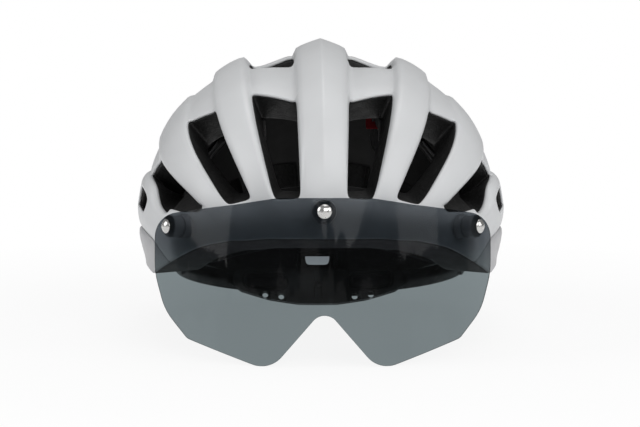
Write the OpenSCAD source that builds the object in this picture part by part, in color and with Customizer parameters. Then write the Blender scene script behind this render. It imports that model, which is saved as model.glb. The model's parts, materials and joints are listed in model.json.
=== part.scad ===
// Bicycle helmet with a smoked clip-on visor, standing on a table on its visor and its cradle.
// Shell, liner, pads and straps are drawn round the hub, the point under the head that their
// surfaces fan out from: x to the right, y to the back, z up. Everything is then leant back and
// set down, so that the origin is the middle of the footprint.

/* [Shell] */
// Widest outside width of the shell
shell_w = 212; // [206:1:220]
// Outside length of the shell, front to back
shell_l = 276; // [268:2:290]
// Height of the crown's ridge above the hub
shell_h = 170; // [164:1:178]
// Thickness of the hard outer shell
shell_t = 1.6; // [1.2:0.1:2.4]
// How far the edges of a rib roll down from its crest
rib_roll = 4; // [2:0.5:5]
// How far the cross bars beside the keel lie below the ribs
bar_drop = 8; // [5:0.5:9]
// Rise of the ridge along the keel above its shoulders
keel_ridge = 6.5; // [4:0.5:8]

/* [Liner] */
// Thickness of the foam liner over the crown, the brow and the nape
foam_t = 25; // [22:1:27]
// Thickness of the foam liner at the sides
foam_side_t = 22; // [19:1:23]
// Gap between the foam liner and the shells glued over it
skin_gap = 0.2; // [0.1:0.05:0.5]

/* [Pads and straps] */
// Thickness of the comfort pads
pad_t = 5; // [4:0.5:6]
// Thickness of the hook dots that hold the pads
dot_t = 0.8; // [0.5:0.1:1]
// Width of the strap webbing
strap_w = 15; // [12:1:18]
// Thickness of the strap webbing
strap_t = 1.2; // [1:0.1:1.6]
// Gap between the liner's sides and the arc of the chin strap under the crown
chin_gap = 6.5; // [5:0.5:9]

/* [Visor] */
// Radius of the visor lens, seen from above
visor_r = 105; // [100:1:110]
// Thickness of the visor lens
visor_t = 2; // [1.5:0.1:3]
// Half the width of the visor lens
visor_half_w = 90.5; // [88:0.5:94]
// Height of the visor's top edge above the hub
visor_top = 76; // [72:1:80]
// Height of the top of the nose notch above the hub
notch_top = 15.5; // [10:0.5:20]
// Distance of each side stud from the middle
stud_x = 84; // [80:1:86]
// Height of the side studs above the hub
stud_side_z = 61; // [58:1:63]
// Height of the middle stud above the hub
stud_mid_z = 69; // [66:0.5:70]
// Diameter of a stud's domed head
stud_d = 7.7; // [6:0.1:9]
// Diameter of a stud's shank
shank_d = 3.8; // [3:0.1:4.4]
// Length of the shortest magnet holder
holder_l = 6.3; // [4:0.1:8]
// Diameter of a magnet holder
holder_d = 12; // [11:0.5:14]
// Diameter of the magnets
magnet_d = 8; // [6:0.5:9]
// Thickness of the magnets
magnet_t = 1.5; // [1:0.1:2]
// Thickness of the seats on the shell that the visor's magnets hold on to
seat_t = 2.2; // [1.8:0.1:3]

/* [Cradle] */
// Distance of the temple pins behind the hub (negative is in front of it)
pin_y = -29; // [-32:1:-26]
// Height of the temple pins above the hub
pin_z = 46; // [44:0.5:48]
// Diameter of the temple pins
pin_d = 3.6; // [3:0.1:4]
// How far the cradle slopes down from the pins to the nape
cradle_slope = 12; // [10:0.5:14]
// Gap between the liner's sides and the arms, to the middle of their thickness
arm_gap = 4.5; // [4:0.25:6]
// How far the arms' arc at the nape lies in front of the height adjuster's tongue
arm_set_in = 16; // [15:0.5:18]
// Thickness of the arms
arm_t = 1.8; // [1.4:0.1:2.2]
// Height of the arms
arm_h = 11; // [10:0.5:12]
// Thickness of the cradle's two plates
plate_t = 2; // [1.6:0.1:2.6]
// How far each arm slides in the cradle either way
arm_travel = 6.3; // [4:0.1:7]
// Diameter of the dial knob
knob_d = 18; // [16:0.5:20]
// Thickness of the dial knob
knob_t = 6.6; // [5:0.2:7]
// Module of the pinion and the racks
tooth_module = 0.6; // [0.55:0.05:0.65]
// Diameter of the pinion's shaft
shaft_d = 4; // [3:0.1:5]
// Thickness of the height adjuster's tongue
stem_t = 1.6; // [1.2:0.1:2]
// Width of the height adjuster's tongue
stem_w = 16; // [14:0.5:18]
// Gap between the tongue and the liner behind it
stem_gap = 11.7; // [10.5:0.1:13]

/* [Hidden] */

joint_gap = 0.3;      // between pieces of different bodies
fit_gap = 0.05;       // between pieces of one body that sit on or in each other
wall_gap = 0.9;       // from the liner's true inner surface to what lies on it
$fn = 48;

function lerp(a, b, t) = a + (b - a) * t;
function clamp(x, lo, hi) = max(lo, min(hi, x));
function smooth(a, b, x) = let (t = clamp((x - a) / (b - a), 0, 1)) t * t * (3 - 2 * t);
function unit(v) = v / norm(v);

// Value at x of the smooth curve through evenly spaced knots
function curve(knots, first, step, x) =
    let (p = clamp((x - first) / step, 0, len(knots) - 1.0001), k = floor(p), t = p - k,
         y1 = knots[k], y2 = knots[k + 1],
         y0 = k > 0 ? knots[k - 1] : 2 * y1 - y2,
         y3 = k + 2 < len(knots) ? knots[k + 2] : 2 * y2 - y1)
    y1 + 0.5 * t * (y2 - y0 + t * (2 * y0 - 5 * y1 + 4 * y2 - y3 + t * (3 * (y1 - y2) + y3 - y0)));

// The dome. A direction from the hub is given by out, the angle from the middle plane, and by
// pitch, the angle over the top from the front (0) to the back (180).
// width, length and height that the knots below are drawn for
design = [212, 276, 170];
// radius over the middle line, every 15 degrees of pitch from 15
crest_knots = [122, 153.5, 163.5, 164, 162.5, 163.5, 167, 170.5, 168.5, 158, 139.5, 112];
// half the width, every 30 degrees of pitch from 0
flank_knots = [108, 109.5, 110.5, 110.5, 109.5, 103, 90];
function crest(pitch) = curve(crest_knots, 15, 15, pitch)
    * sqrt(pow(cos(pitch) * shell_l / design[1], 2) + pow(sin(pitch) * shell_h / design[2], 2));
function flank(pitch) = curve(flank_knots, 0, 30, pitch) * shell_w / design[0];
// the section's squareness: round at the brow and the nape, fuller over the crown
function fullness(pitch) = 2.1 + 0.75 * smooth(25, 60, pitch) - 0.5 * smooth(125, 165, pitch);
function dome(out, pitch, side_in = 0, top_in = 0) =
    pow(pow(abs(sin(out)) / (flank(pitch) - side_in), fullness(pitch))
        + pow(cos(out) / (crest(pitch) - top_in), fullness(pitch)), -1 / fullness(pitch));
function heading(out, pitch) = [sin(out), -cos(out) * cos(pitch), cos(out) * sin(pitch)];
function out_of(p) = asin(p[0] / norm(p));
function pitch_of(p) = atan2(p[2], -p[1]);
// a point on the liner's true inner surface, lifted off it towards the hub
function inside(out, pitch, lift = 0) =
    (dome(out, pitch, foam_side_t, foam_t) - lift) * heading(out, pitch);
// how far a point lies outside the dome, and where a ray from p along n meets it
function beyond(p, side_in, top_in) = norm(p) - dome(out_of(p), pitch_of(p), side_in, top_in);
function ray_depth(p, n, side_in, top_in, near, far, steps = 24) =
    let (mid = (near + far) / 2, out_there = beyond(p + mid * n, side_in, top_in) > 0,
         out_here = beyond(p + near * n, side_in, top_in) > 0)
    steps == 0 ? mid
        : out_there == out_here ? ray_depth(p, n, side_in, top_in, mid, far, steps - 1)
        : ray_depth(p, n, side_in, top_in, near, mid, steps - 1);

// The shell's grid. Lines run front to back: 0 the keel's ridge, 1 the keel's edge, 2 and 3 the
// edges of the first rib, 4 and 5 of the second, 6 the top of the side band, 7 the seam between
// the two shells and 8 the rim. Each has its angle out, every 30 degrees of pitch from 20.
lines = [
    [0, 0, 0, 0, 0, 0],
    [4.3, 5.0, 5.6, 5.6, 4.8, 3.5],
    [9.6, 13.2, 14.9, 14.3, 11.9, 8],
    [14.3, 20.3, 22.8, 21.8, 18.7, 13.2],
    [20.3, 27.6, 30.9, 29.8, 25.9, 19],
    [25.8, 35.5, 40.3, 39.3, 34.5, 25],
    [31.2, 43.5, 49.7, 48, 41, 30],
    [38, 52.5, 59.3, 56.5, 46.5, 37],
    [46, 63, 69.5, 67.5, 56, 44],
];
function line_out(k, pitch) = curve(lines[k], 20, 30, pitch);
// Rows run across: each bounds a vent or a cross bar, and has its pitch at each line
rows = [
    [23, 23.1, 23.3, 23.6, 23.9, 24.5, 25.2, 25.2, 25.8],
    [29, 29, 29.2, 29.5, 30, 31, 31.5, 33, 36],
    [54, 54, 57, 57.5, 59, 62, 66, 66, 66],
    [72, 72, 72, 72, 73, 74, 76, 76, 76],
    [86, 86, 86, 86, 87, 84, 84, 84, 84],
    [94, 94, 94, 95, 97, 98, 98, 98, 98],
    [113, 113, 113, 113, 113, 112, 112, 112, 112],
    [121, 121, 121, 121, 121, 120, 120, 120, 120],
    [139, 139, 139, 139, 138, 136, 133.5, 131, 129],
    [146, 146, 146, 145.5, 144, 141, 137.5, 134.5, 132.5],
    [155, 155, 155, 154, 151, 148, 144.5, 140, 137],
    [159, 159, 159, 158, 156, 153, 149, 145, 142],
    [169.5, 169.5, 169.5, 169.2, 168.6, 167, 164.4, 158.5, 151],
];
// how far each row turns back on its way in through the foam, so that the rear vents point down
row_slant = [1.5, 0, 0, 0, 0, 0, 0, 15.5, 11, 6, 0.5, -2, -3];
// how far the rim turns in towards the crown on its way in, every 30 degrees of pitch from 20
rim_turn = [-9, -6, -4, -4, -4, -5];
// the steps of the grid between one line or row and the next, as shares
line_steps = [[0, 0.5, 0.85], [0, 0.33, 0.67], [0, 0.2, 0.5, 0.8], [0, 0.33, 0.67],
              [0, 0.2, 0.5, 0.8], [0, 0.33, 0.67], [0, 0.2, 0.75], [0, 0.3, 0.6]];
row_steps = [[0], [0, 0.2, 0.4, 0.6, 0.8], [0, 0.33, 0.67], [0, 0.5], [0, 0.5], [0, 0.33, 0.67],
             [0, 0.33, 0.67], [0, 0.5], [0], [0, 0.5], [0], [0, 0.33, 0.67]];
function places(steps) = [for (z = [0:len(steps) - 1], t = steps[z]) [z, t], [len(steps), 0]];
columns = places(line_steps);
ranks = places(row_steps);
last_line = len(lines) - 1;
nc = len(columns) - 1;
nr = len(ranks) - 1;
function row_pitch(r, c, slant) =
    lerp(rows[r][c[0]], rows[r][min(c[0] + 1, last_line)], c[1]) + slant * row_slant[r];
function grid_pitch(i, j, slant = 0) =
    let (c = columns[abs(i)], r = ranks[j], a = row_pitch(r[0], c, slant))
    r[1] == 0 ? a : lerp(a, row_pitch(r[0] + 1, c, slant), r[1]);
function grid_out(i, j) =
    let (c = columns[abs(i)], p = grid_pitch(i, j))
    sign(i) * lerp(line_out(c[0], p), line_out(min(c[0] + 1, last_line), p), c[1]);

// Which cells are open: rows of vents in the three gaps between keel, ribs and side band, a slit
// in the side band and a port in the keel's tail
vent_rows = [[], [1, 3, 5, 7, 9], [], [1, 3, 5, 7, 9], [], [1, 2, 4, 5, 7, 9], [], []];
slit_line = 6;
slit_row = 2;
port_row = 11;
function among(x, list) = len(search(x, list)) > 0;
function cell_open(i, j) =
    let (c = columns[i < 0 ? -i - 1 : i], r = ranks[j])
    among(r[0], vent_rows[c[0]])
        || (c[0] == slit_line && c[1] == 0.2 && r[0] == slit_row)
        || (c[0] == 0 && r[0] == port_row && r[1] == 0.33);
function below_seam(i, j) = let (c = columns[i < 0 ? -i - 1 : i], r = ranks[j])
    c[0] == last_line - 1 || r[0] == port_row;
function cell_upper(i, j) = !cell_open(i, j) && !below_seam(i, j);
function cell_lower(i, j) = !cell_open(i, j) && below_seam(i, j);

// How far the surface lies off the dome: ribs stand up, bars and vents lie low, and the lower
// shell tucks in towards the rim
bar_drops = [0, bar_drop, 0, 5, 0, 4, 0, 0, 0];
rib_edges = [0.2, 0.8];
seam_step = 4;
side_tuck = 1.6;
rim_tuck = 13;
function relief(i, j) =
    let (c = columns[abs(i)], z = c[0], t = c[1], r = ranks[j], p = grid_pitch(i, j),
         shown = smooth(27, 40, p) * (1 - smooth(148, 160, p)),
         keel = keel_ridge * (1 - pow(t, 1.6)) * smooth(33, 44, p),
         rib = t == 0 ? rib_roll : among(t, rib_edges) ? rib_roll * 0.2 : 0,
         bar = t == 0 ? rib_roll : bar_drops[z] + (r[1] == 0 ? 1.5 : 0),
         tuck = r[0] == port_row + 1 ? 1 : r[0] == port_row ? r[1]
             : z == last_line ? 1 : z == last_line - 1 ? pow(t, 1.3) : 0)
    shown * (z == 0 ? keel : z == 1 || z == 3 || z == 5 ? -bar : z == 2 || z == 4 ? -rib
             : z == 6 ? (t == 0 ? -rib_roll : -side_tuck * t) : -side_tuck - (z == 7 && t == 0 ? seam_step : 0))
        - rim_tuck * tuck * smooth(24, 60, p);
function outer_points(inset) = [for (j = [0:nr], i = [-nc:nc])
    let (o = grid_out(i, j), p = grid_pitch(i, j)) (dome(o, p) + relief(i, j) - inset) * heading(o, p)];
function inner_out(i, j) =
    let (c = columns[abs(i)], low = clamp(c[0] + c[1] - last_line + 2, 0, 2) / 2)
    grid_out(i, j) + sign(i) * low * low * curve(rim_turn, 20, 30, grid_pitch(i, j));
function inner_points() = [for (j = [0:nr], i = [-nc:nc]) inside(inner_out(i, j), grid_pitch(i, j, 1))];

// A closed solid over the grid cells marked in kept, between an outer and an inner sheet of points
module sheet_solid(outer, inner, kept) {
    nx = len(kept[0]) + 1;
    ny = len(kept) + 1;
    function id(i, j, side) = (side * ny + j) * nx + i;
    function filled(i, j) = i >= 0 && i < nx - 1 && j >= 0 && j < ny - 1 && kept[j][i];
    function split(s, i) = i < nx / 2 - 1 ? [[s[0], s[1], s[2]], [s[0], s[2], s[3]]]
                                          : [[s[1], s[2], s[3]], [s[1], s[3], s[0]]];
    skins = [for (j = [0:ny - 2], i = [0:nx - 2]) if (filled(i, j))
        for (side = [0, 1])
            let (q = [id(i, j, side), id(i + 1, j, side), id(i + 1, j + 1, side), id(i, j + 1, side)])
            each split(side == 0 ? [q[0], q[3], q[2], q[1]] : q, i)];
    walls = [for (j = [0:ny - 2], i = [0:nx - 2]) if (filled(i, j))
        for (e = [[0, -1, i, j, i + 1, j], [1, 0, i + 1, j, i + 1, j + 1],
                  [0, 1, i + 1, j + 1, i, j + 1], [-1, 0, i, j + 1, i, j]])
            if (!filled(i + e[0], j + e[1]))
                let (a = id(e[2], e[3], 0), b = id(e[4], e[5], 0), c = id(e[4], e[5], 1),
                     d = id(e[2], e[3], 1))
                each [[a, b, c], [a, c, d]]];
    polyhedron(points = concat(outer, inner), faces = concat(skins, walls), convexity = 10);
}

module upper_shell() color("whitesmoke") stand()
    sheet_solid(outer_points(0), outer_points(shell_t),
        [for (j = [0:nr - 1]) [for (i = [-nc:nc - 1]) cell_upper(i, j)]]);
module lower_shell() color("darkgray") stand()
    sheet_solid(outer_points(0), outer_points(shell_t),
        [for (j = [0:nr - 1]) [for (i = [-nc:nc - 1]) cell_lower(i, j)]]);
module liner() color([0.05, 0.05, 0.055]) stand()
    sheet_solid(outer_points(shell_t + skin_gap), inner_points(),
        [for (j = [0:nr - 1]) [for (i = [-nc:nc - 1]) !cell_open(i, j)]]);

// Pads, on the liner's inside
pad_lift = wall_gap + dot_t + fit_gap;
pad_nu = 4;
pad_nv = 8;
// out at its two ends, half its breadth, and its pitch from end to end
brow_pad_area = [0, 0, 36, 26, 38];
crown_front_area = [16.5, 18, 3.6, 48, 82];
crown_rear_area = [18.2, 16.5, 3.6, 98, 130];
side_area = [53, 53, 4, 64, 80];
function pad_end(v) = pow(1 - pow(abs(2 * v - 1), 6), 0.35);
function pad_out(area, u, v) = lerp(area[0], area[1], v) + area[2] * u * max(0.45, pad_end(v));
function pad_pitch(area, v) = lerp(area[3], area[4], v);
function pad_crown(u, v) = 0.3 + 0.7 * sqrt(1 - pow(u, 4)) * sqrt(1 - pow(2 * v - 1, 8));
function pad_points(area, front, nu) = [for (j = [0:pad_nv], i = [0:nu])
    let (u = 2 * i / nu - 1, v = j / pad_nv)
    inside(pad_out(area, u, v), pad_pitch(area, v), pad_lift + (front ? pad_t * pad_crown(u, v) : 0))];
module pad(area, nu = pad_nu) color([0.09, 0.09, 0.1]) stand()
    sheet_solid(pad_points(area, false, nu), pad_points(area, true, nu),
        [for (j = [1:pad_nv]) [for (i = [1:nu]) true]]);
module on_side(side) mirror([side < 0 ? 1 : 0, 0, 0]) children();

module brow_pad() pad(brow_pad_area, 12);
module crown_pad_front_left() on_side(-1) pad(crown_front_area);
module crown_pad_front_right() on_side(1) pad(crown_front_area);
module crown_pad_rear_left() on_side(-1) pad(crown_rear_area);
module crown_pad_rear_right() on_side(1) pad(crown_rear_area);
module side_pad_left() on_side(-1) pad(side_area);
module side_pad_right() on_side(1) pad(side_area);

// What is stuck flat to the inside of the liner stands on its true normal
function wall_normal(out, pitch) =
    unit(cross(inside(out + 1, pitch) - inside(out - 1, pitch), inside(out, pitch + 1) - inside(out, pitch - 1)));
function frame_at(p, x, z) = let (y = cross(z, x))
    [[x[0], y[0], z[0], p[0]], [x[1], y[1], z[1], p[1]], [x[2], y[2], z[2], p[2]], [0, 0, 0, 1]];
// child +Z points out of the bowl, child +Y along rising pitch
module on_wall(out, pitch, lift) {
    z = wall_normal(out, pitch);
    along = inside(out, pitch + 1) - inside(out, pitch - 1);
    x = unit(cross(along, z));
    multmatrix(frame_at(inside(out, pitch, lift), x, z)) children();
}

dot_d = 12;
dot_places = [for (s = [-1, 1]) each [
    [s * 16.7, 54], [s * 17.4, 68], [s * 17.8, 78], [s * 18, 103], [s * 17.3, 115], [s * 16.8, 125],
    [s * 53, 72], [s * 10, 32], [s * 28, 32]]];
module hook_dots() color([0.16, 0.16, 0.17]) stand()
    for (d = dot_places)
        on_wall(d[0], d[1], wall_gap + dot_t) cylinder(d = dot_d, h = dot_t - fit_gap, $fn = 24);

// A short folded fabric tab at the edge of the rear right crown pad
tab_place = [11.7, 116];
tab_size = [8, 9, 0.9];
tab_lift = 0.6;
module pad_tab() color([0.45, 0.05, 0.08]) stand()
    on_wall(tab_place[0], tab_place[1], wall_gap + tab_size[2] + tab_lift)
        translate([-tab_size[0] / 2, -tab_size[1] / 2, 0]) cube(tab_size);

// The chin strap, its dividers and its buckle follow one arc under the crown, in the plane y = 0,
// whose angle is measured from straight up towards either side
buckle_h = 7.2;
buckle_w = 21;
crown_gap = wall_gap + 0.3;
chin_r = flank(90) - foam_side_t - chin_gap;
chin_z = crest(90) - foam_t - crown_gap - buckle_h / 2 - chin_r;
function chin_deg(mm) = mm / chin_r * 180 / PI;
function chin_point(a, y = 0) = [chin_r * sin(a), y, chin_z + chin_r * cos(a)];
module chin_arc(low, high, w, a0, a1, y = 0) translate([0, 0, chin_z])
    rotate([90, 0, 0]) rotate([0, 0, 90 - a1]) rotate_extrude(angle = a1 - a0, $fn = 180)
    translate([chin_r + low, -w / 2 - y]) square([high - low, w]);

socket_end = chin_deg(13);      // each way from the middle of the buckle
plug_grip = chin_deg(9);
prong_l = chin_deg(12);
prong_w = 3.4;
catch_step = 0.4;
prong_y = 6.6;
guide_w = 5;
tongue_h = 3;
web_slot = chin_deg(3.4);
socket_wall = 1.6;
buckle_gap = 0.3;
// the socket is open towards +x, and the plug's prongs show at its two side windows
module buckle_socket() color([0.08, 0.08, 0.085]) stand() difference() {
    chin_arc(-buckle_h / 2, buckle_h / 2, buckle_w, -socket_end, chin_deg(4));
    chin_arc(-tongue_h / 2 - buckle_gap, tongue_h / 2 + buckle_gap, buckle_w - 2 * socket_wall,
        chin_deg(4) - prong_l - buckle_gap, chin_deg(5));
    for (s = [-1, 1])
        chin_arc(-tongue_h / 2 + 0.1, tongue_h / 2 - 0.1, 2 * socket_wall + 1,
            chin_deg(-6), chin_deg(-1), s * buckle_w / 2);
    chin_arc(-buckle_h, buckle_h, strap_w + 1, -socket_end + chin_deg(1.6), -socket_end + web_slot);
}
module buckle_plug() color([0.08, 0.08, 0.085]) stand() difference() {
    union() {
        chin_arc(-buckle_h / 2, buckle_h / 2, buckle_w, chin_deg(4.3), chin_deg(4.3) + plug_grip);
        chin_arc(-tongue_h / 2, tongue_h / 2, guide_w, chin_deg(4.3) - prong_l, chin_deg(5));
        for (s = [-1, 1])
            chin_arc(-tongue_h / 2, tongue_h / 2, prong_w, chin_deg(4.3) - prong_l, chin_deg(5),
                s * prong_y);
        for (s = [-1, 1])
            chin_arc(-tongue_h / 2 + 0.4, tongue_h / 2 - 0.4, prong_w, chin_deg(-5.5), chin_deg(-1.5),
                s * (prong_y + catch_step));
    }
    chin_arc(-buckle_h, buckle_h, strap_w + 1, chin_deg(4.3) + plug_grip - web_slot,
        chin_deg(4.3) + plug_grip - chin_deg(1.6));
}

divider_at = 52;
divider_l = chin_deg(24);
divider_w = 23;
divider_h = strap_t + 2.8;
slot_gap = 0.3;
tail_end = 67;
module divider(side) color([0.08, 0.08, 0.085]) stand() on_side(side) difference() {
    chin_arc(-divider_h / 2, divider_h / 2, divider_w, divider_at - divider_l / 2,
        divider_at + divider_l / 2);
    chin_arc(-strap_t / 2 - slot_gap, strap_t / 2 + slot_gap, strap_w + 2 * slot_gap,
        divider_at - divider_l, divider_at + divider_l);
}
module strap_divider_left() divider(-1);
module strap_divider_right() divider(1);
module chin_strap(side, start) color([0.1, 0.1, 0.11]) stand() on_side(side)
    chin_arc(-strap_t / 2, strap_t / 2, strap_w, start, tail_end);
module chin_strap_left() chin_strap(-1, socket_end + fit_gap);
module chin_strap_right() chin_strap(1, chin_deg(4.3) + plug_grip + fit_gap);

// Front and rear straps, from the rim up the inside of the liner to the divider
strap_lift = wall_gap + 0.5 + strap_t / 2;
front_route = [[56, 41], [50, 45], [44, 55], [39, 68]];
strap_stop = 0.35;      // from a strap's end to its divider
rear_route = [[34, 149], [34.5, 138], [36, 124], [37, 110]];
run_in = 10;
strap_rings = 16;
function divider_side(y) = chin_point(divider_at, y);
function strap_route(route, end) = concat([for (k = route) inside(k[0], k[1], strap_lift)],
    [divider_side(end * (divider_w / 2 + run_in)), divider_side(end * (divider_w / 2 + strap_stop))]);
function along_route(p, x) = [for (k = [0:2]) curve([for (q = p) q[k]], 0, 1, x * (len(p) - 1))];
function route_dir(p, x) = unit(along_route(p, min(1, x + 0.01)) - along_route(p, max(0, x - 0.01)));
// the webbing's outward side turns from the wall's normal to the divider's
function strap_out(p, x) =
    let (q = along_route(p, x), w = smooth(0.5, 0.95, x), t = route_dir(p, x),
         n = (1 - w) * wall_normal(out_of(q), pitch_of(q)) + w * [sin(divider_at), 0, cos(divider_at)])
    unit(n - (n * t) * t);
function strap_edge(p, x, side, face) =
    let (t = route_dir(p, x), n = strap_out(p, x), b = cross(t, n))
    along_route(p, x) + b * side * strap_w / 2 + n * face * strap_t / 2;
function strap_sheet(p, face) = [for (k = [0:strap_rings], side = [-1, 1])
    strap_edge(p, k / strap_rings, side, face)];
module strap(route, end) color([0.1, 0.1, 0.11]) {
    p = strap_route(route, end);
    sheet_solid(strap_sheet(p, 1), strap_sheet(p, -1), [for (k = [1:strap_rings]) [true]]);
}
module front_strap_left() stand() on_side(-1) strap(front_route, -1);
module front_strap_right() stand() on_side(1) strap(front_route, -1);
module rear_strap_left() stand() on_side(-1) strap(rear_route, 1);
module rear_strap_right() stand() on_side(1) strap(rear_route, 1);

// Each strap ends at a slotted plate at the rim
anchor_size = [18, 6, 2.4];
anchor_lift = 0.6;
module strap_anchors() color([0.08, 0.08, 0.085]) stand()
    for (side = [-1, 1], r = [[front_route, -1], [rear_route, 1]]) on_side(side) {
        p = strap_route(r[0], r[1]);
        t = route_dir(p, 0);
        n = strap_out(p, 0);
        multmatrix(frame_at(along_route(p, 0) - t * fit_gap, cross(t, n), n))
            translate([-anchor_size[0] / 2, -anchor_size[1], strap_t / 2 - anchor_size[2] - anchor_lift])
            cube(anchor_size);
    }

// Where a round piece of radius r, whose axis runs from p along the level direction n, first
// meets a wall of the dome
reach = shell_w / 5;
function rim_point(p, n, r, k) = k == 8 ? p : p + r * (cos(45 * k) * [-n[1], n[0], 0] + [0, 0, sin(45 * k)]);
function first_wall(p, n, r, side_in, top_in, near, far) =
    min([for (k = [0:8]) ray_depth(rim_point(p, n, r, k), n, side_in, top_in, near, far)]);

// Temple anchors: a boss on the liner's inside, a pin and the pin's head
pin_head_d = 7;
pin_head_t = 1.5;
boss_d = 9;
guide_rise = 18.9;       // of the tongue's guide above the pins
stem_wall = first_wall([0, pin_y, pin_z + guide_rise], [0, 1, 0], 0, foam_side_t, foam_t, 0, shell_l);
stem_r = norm([stem_wall - stem_gap, guide_rise]);
arm_r = flank(90) - foam_side_t - arm_gap;
arm_centre = stem_r - arm_set_in - arm_r;
arm_pin_angle = acos(-arm_centre / arm_r);
pin_x = arm_r * sin(arm_pin_angle);
arm_lean = tan(arm_pin_angle - 90);      // how far the arm leans across the pin's axis
function pin_clearance(d) = (arm_t / 2) / cos(arm_pin_angle - 90) + d / 2 * arm_lean + joint_gap;
module temple_anchor(side) color([0.08, 0.08, 0.085]) stand() on_side(side)
    translate([0, pin_y, pin_z]) rotate([0, 90, 0]) {
        wall = first_wall([pin_x, pin_y, pin_z], [1, 0, 0], boss_d / 2, foam_side_t, foam_t, 0, reach);
        head_at = pin_x - pin_clearance(pin_head_d) - pin_head_t;
        translate([0, 0, head_at]) cylinder(d = pin_head_d, h = pin_head_t);
        translate([0, 0, head_at]) cylinder(d = pin_d, h = pin_x - head_at + pin_clearance(boss_d) + 1);
        translate([0, 0, pin_x + pin_clearance(boss_d)])
            cylinder(d = boss_d, h = wall - pin_clearance(boss_d) - wall_gap / 2);
    }
module temple_anchor_left() temple_anchor(-1);
module temple_anchor_right() temple_anchor(1);

// An arc round the temple pins' axis, whose angle is measured up from level behind the pins
module pin_arc(r0, r1, w, b0, b1) translate([0, pin_y, pin_z])
    rotate([90, 0, 90]) rotate([0, 0, b0]) rotate_extrude(angle = b1 - b0, $fn = 240)
    translate([r0, -w / 2]) square([r1 - r0, w]);
function pin_deg(mm) = mm / stem_r * 180 / PI;

guide_at = asin(guide_rise / stem_r);
guide_half = pin_deg(5.5);
guide_t = 1.5;
guide_lip = 3.2;
post_d = 9;
module stem_guide() color([0.08, 0.08, 0.085]) stand() {
    inner = stem_r - stem_t / 2 - joint_gap;
    outer = stem_r + stem_t / 2 + joint_gap;
    reach = stem_w / 2 + joint_gap;
    b0 = guide_at - guide_half;
    b1 = guide_at + guide_half;
    pin_arc(outer, outer + guide_t, 2 * (reach + guide_t), b0, b1);
    for (s = [-1, 1]) {
        translate([s * (reach + guide_t / 2), 0, 0]) pin_arc(inner - guide_t, outer + guide_t, guide_t, b0, b1);
        translate([s * (reach + guide_t - guide_lip / 2), 0, 0])
            pin_arc(inner - guide_t, inner, guide_lip, b0, b1);
    }
    foot = [0, pin_y + outer * cos(guide_at) + guide_t / 2, pin_z + outer * sin(guide_at)];
    wall = first_wall(foot, [0, 1, 0], post_d / 2, foam_side_t, foam_t, 0, reach);
    translate(foot) rotate([-90, 0, 0]) cylinder(d = post_d, h = wall - wall_gap / 2);
}

// Visor. The lens is a part of an upright cylinder, cut to an outline with a nose notch.
stud_places = [[0, stud_mid_z], [-stud_x, stud_side_z], [stud_x, stud_side_z]];
function lens_in(x) = [-x / visor_r, sqrt(1 - pow(x / visor_r, 2)), 0];
holder_back = visor_t + pow(holder_d / 2, 2) / (2 * (visor_r - visor_t)) + fit_gap;
seat_d = holder_d + 1.5;
// The lens stands as close to the shell as leaves every stud room for its holder and its seat
stud_room = holder_back + holder_l + joint_gap + seat_t + fit_gap;
function stud_clear(k, front) = let (x = stud_places[k][0], n = lens_in(x),
        p = [x, visor_r - front - sqrt(pow(visor_r, 2) - x * x), stud_places[k][1]])
    min([for (q = [0:8]) beyond(rim_point(p, n, seat_d / 2, q) + stud_room * n, 0, 0)]);
function front_for(k, low, high, steps = 20) = let (mid = (low + high) / 2)
    steps == 0 ? mid : stud_clear(k, mid) > 0 ? front_for(k, low, mid, steps - 1)
        : front_for(k, mid, high, steps - 1);
visor_front = max([for (k = [0:2]) front_for(k, shell_l / 3, shell_l)]);
visor_y = visor_r - visor_front;
// one half, from the notch round the cheek to the top: across, up and the corner's radius
half_outline = [
    [0, notch_top + 4, 7.6], [28.3, -13.1, 14], [visor_half_w - 18.5, 2.1, 6],
    [visor_half_w - 5.8, 16.5, 30], [visor_half_w, 36, 40], [visor_half_w, visor_top - 9.6, 14],
    [70, visor_top - 6.3, 30], [46, visor_top - 3.3, 30], [24, visor_top, 30],
];
function corner(a, b, c) =      // the arc that rounds corner b, of radius b[2]
    let (u = unit([a[0] - b[0], a[1] - b[1]]), v = unit([c[0] - b[0], c[1] - b[1]]),
         half = acos(u * v) / 2, m = [b[0], b[1]] + unit(u + v) * b[2] / sin(half),
         p = [b[0], b[1]] + u * b[2] / tan(half) - m, q = [b[0], b[1]] + v * b[2] / tan(half) - m,
         a0 = atan2(p[1], p[0]), turn = atan2(q[1], q[0]) - a0,
         sweep = turn > 180 ? turn - 360 : turn < -180 ? turn + 360 : turn,
         n = max(1, ceil(abs(sweep) / 12)))
    [for (k = [0:n]) m + b[2] * [cos(a0 + sweep * k / n), sin(a0 + sweep * k / n)]];
function mirrored(list) = [for (k = [len(list) - 1:-1:1]) [-list[k][0], list[k][1], list[k][2]]];
visor_outline = let (p = concat(half_outline, mirrored(half_outline)), n = len(p))
    [for (k = [0:n - 1]) each corner(p[(k + n - 1) % n], p[k], p[(k + 1) % n])];
visor_low = min([for (p = visor_outline) p[1]]);
lobe_x = [for (p = visor_outline) if (p[1] < visor_low + 0.01) abs(p[0])][0];

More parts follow.
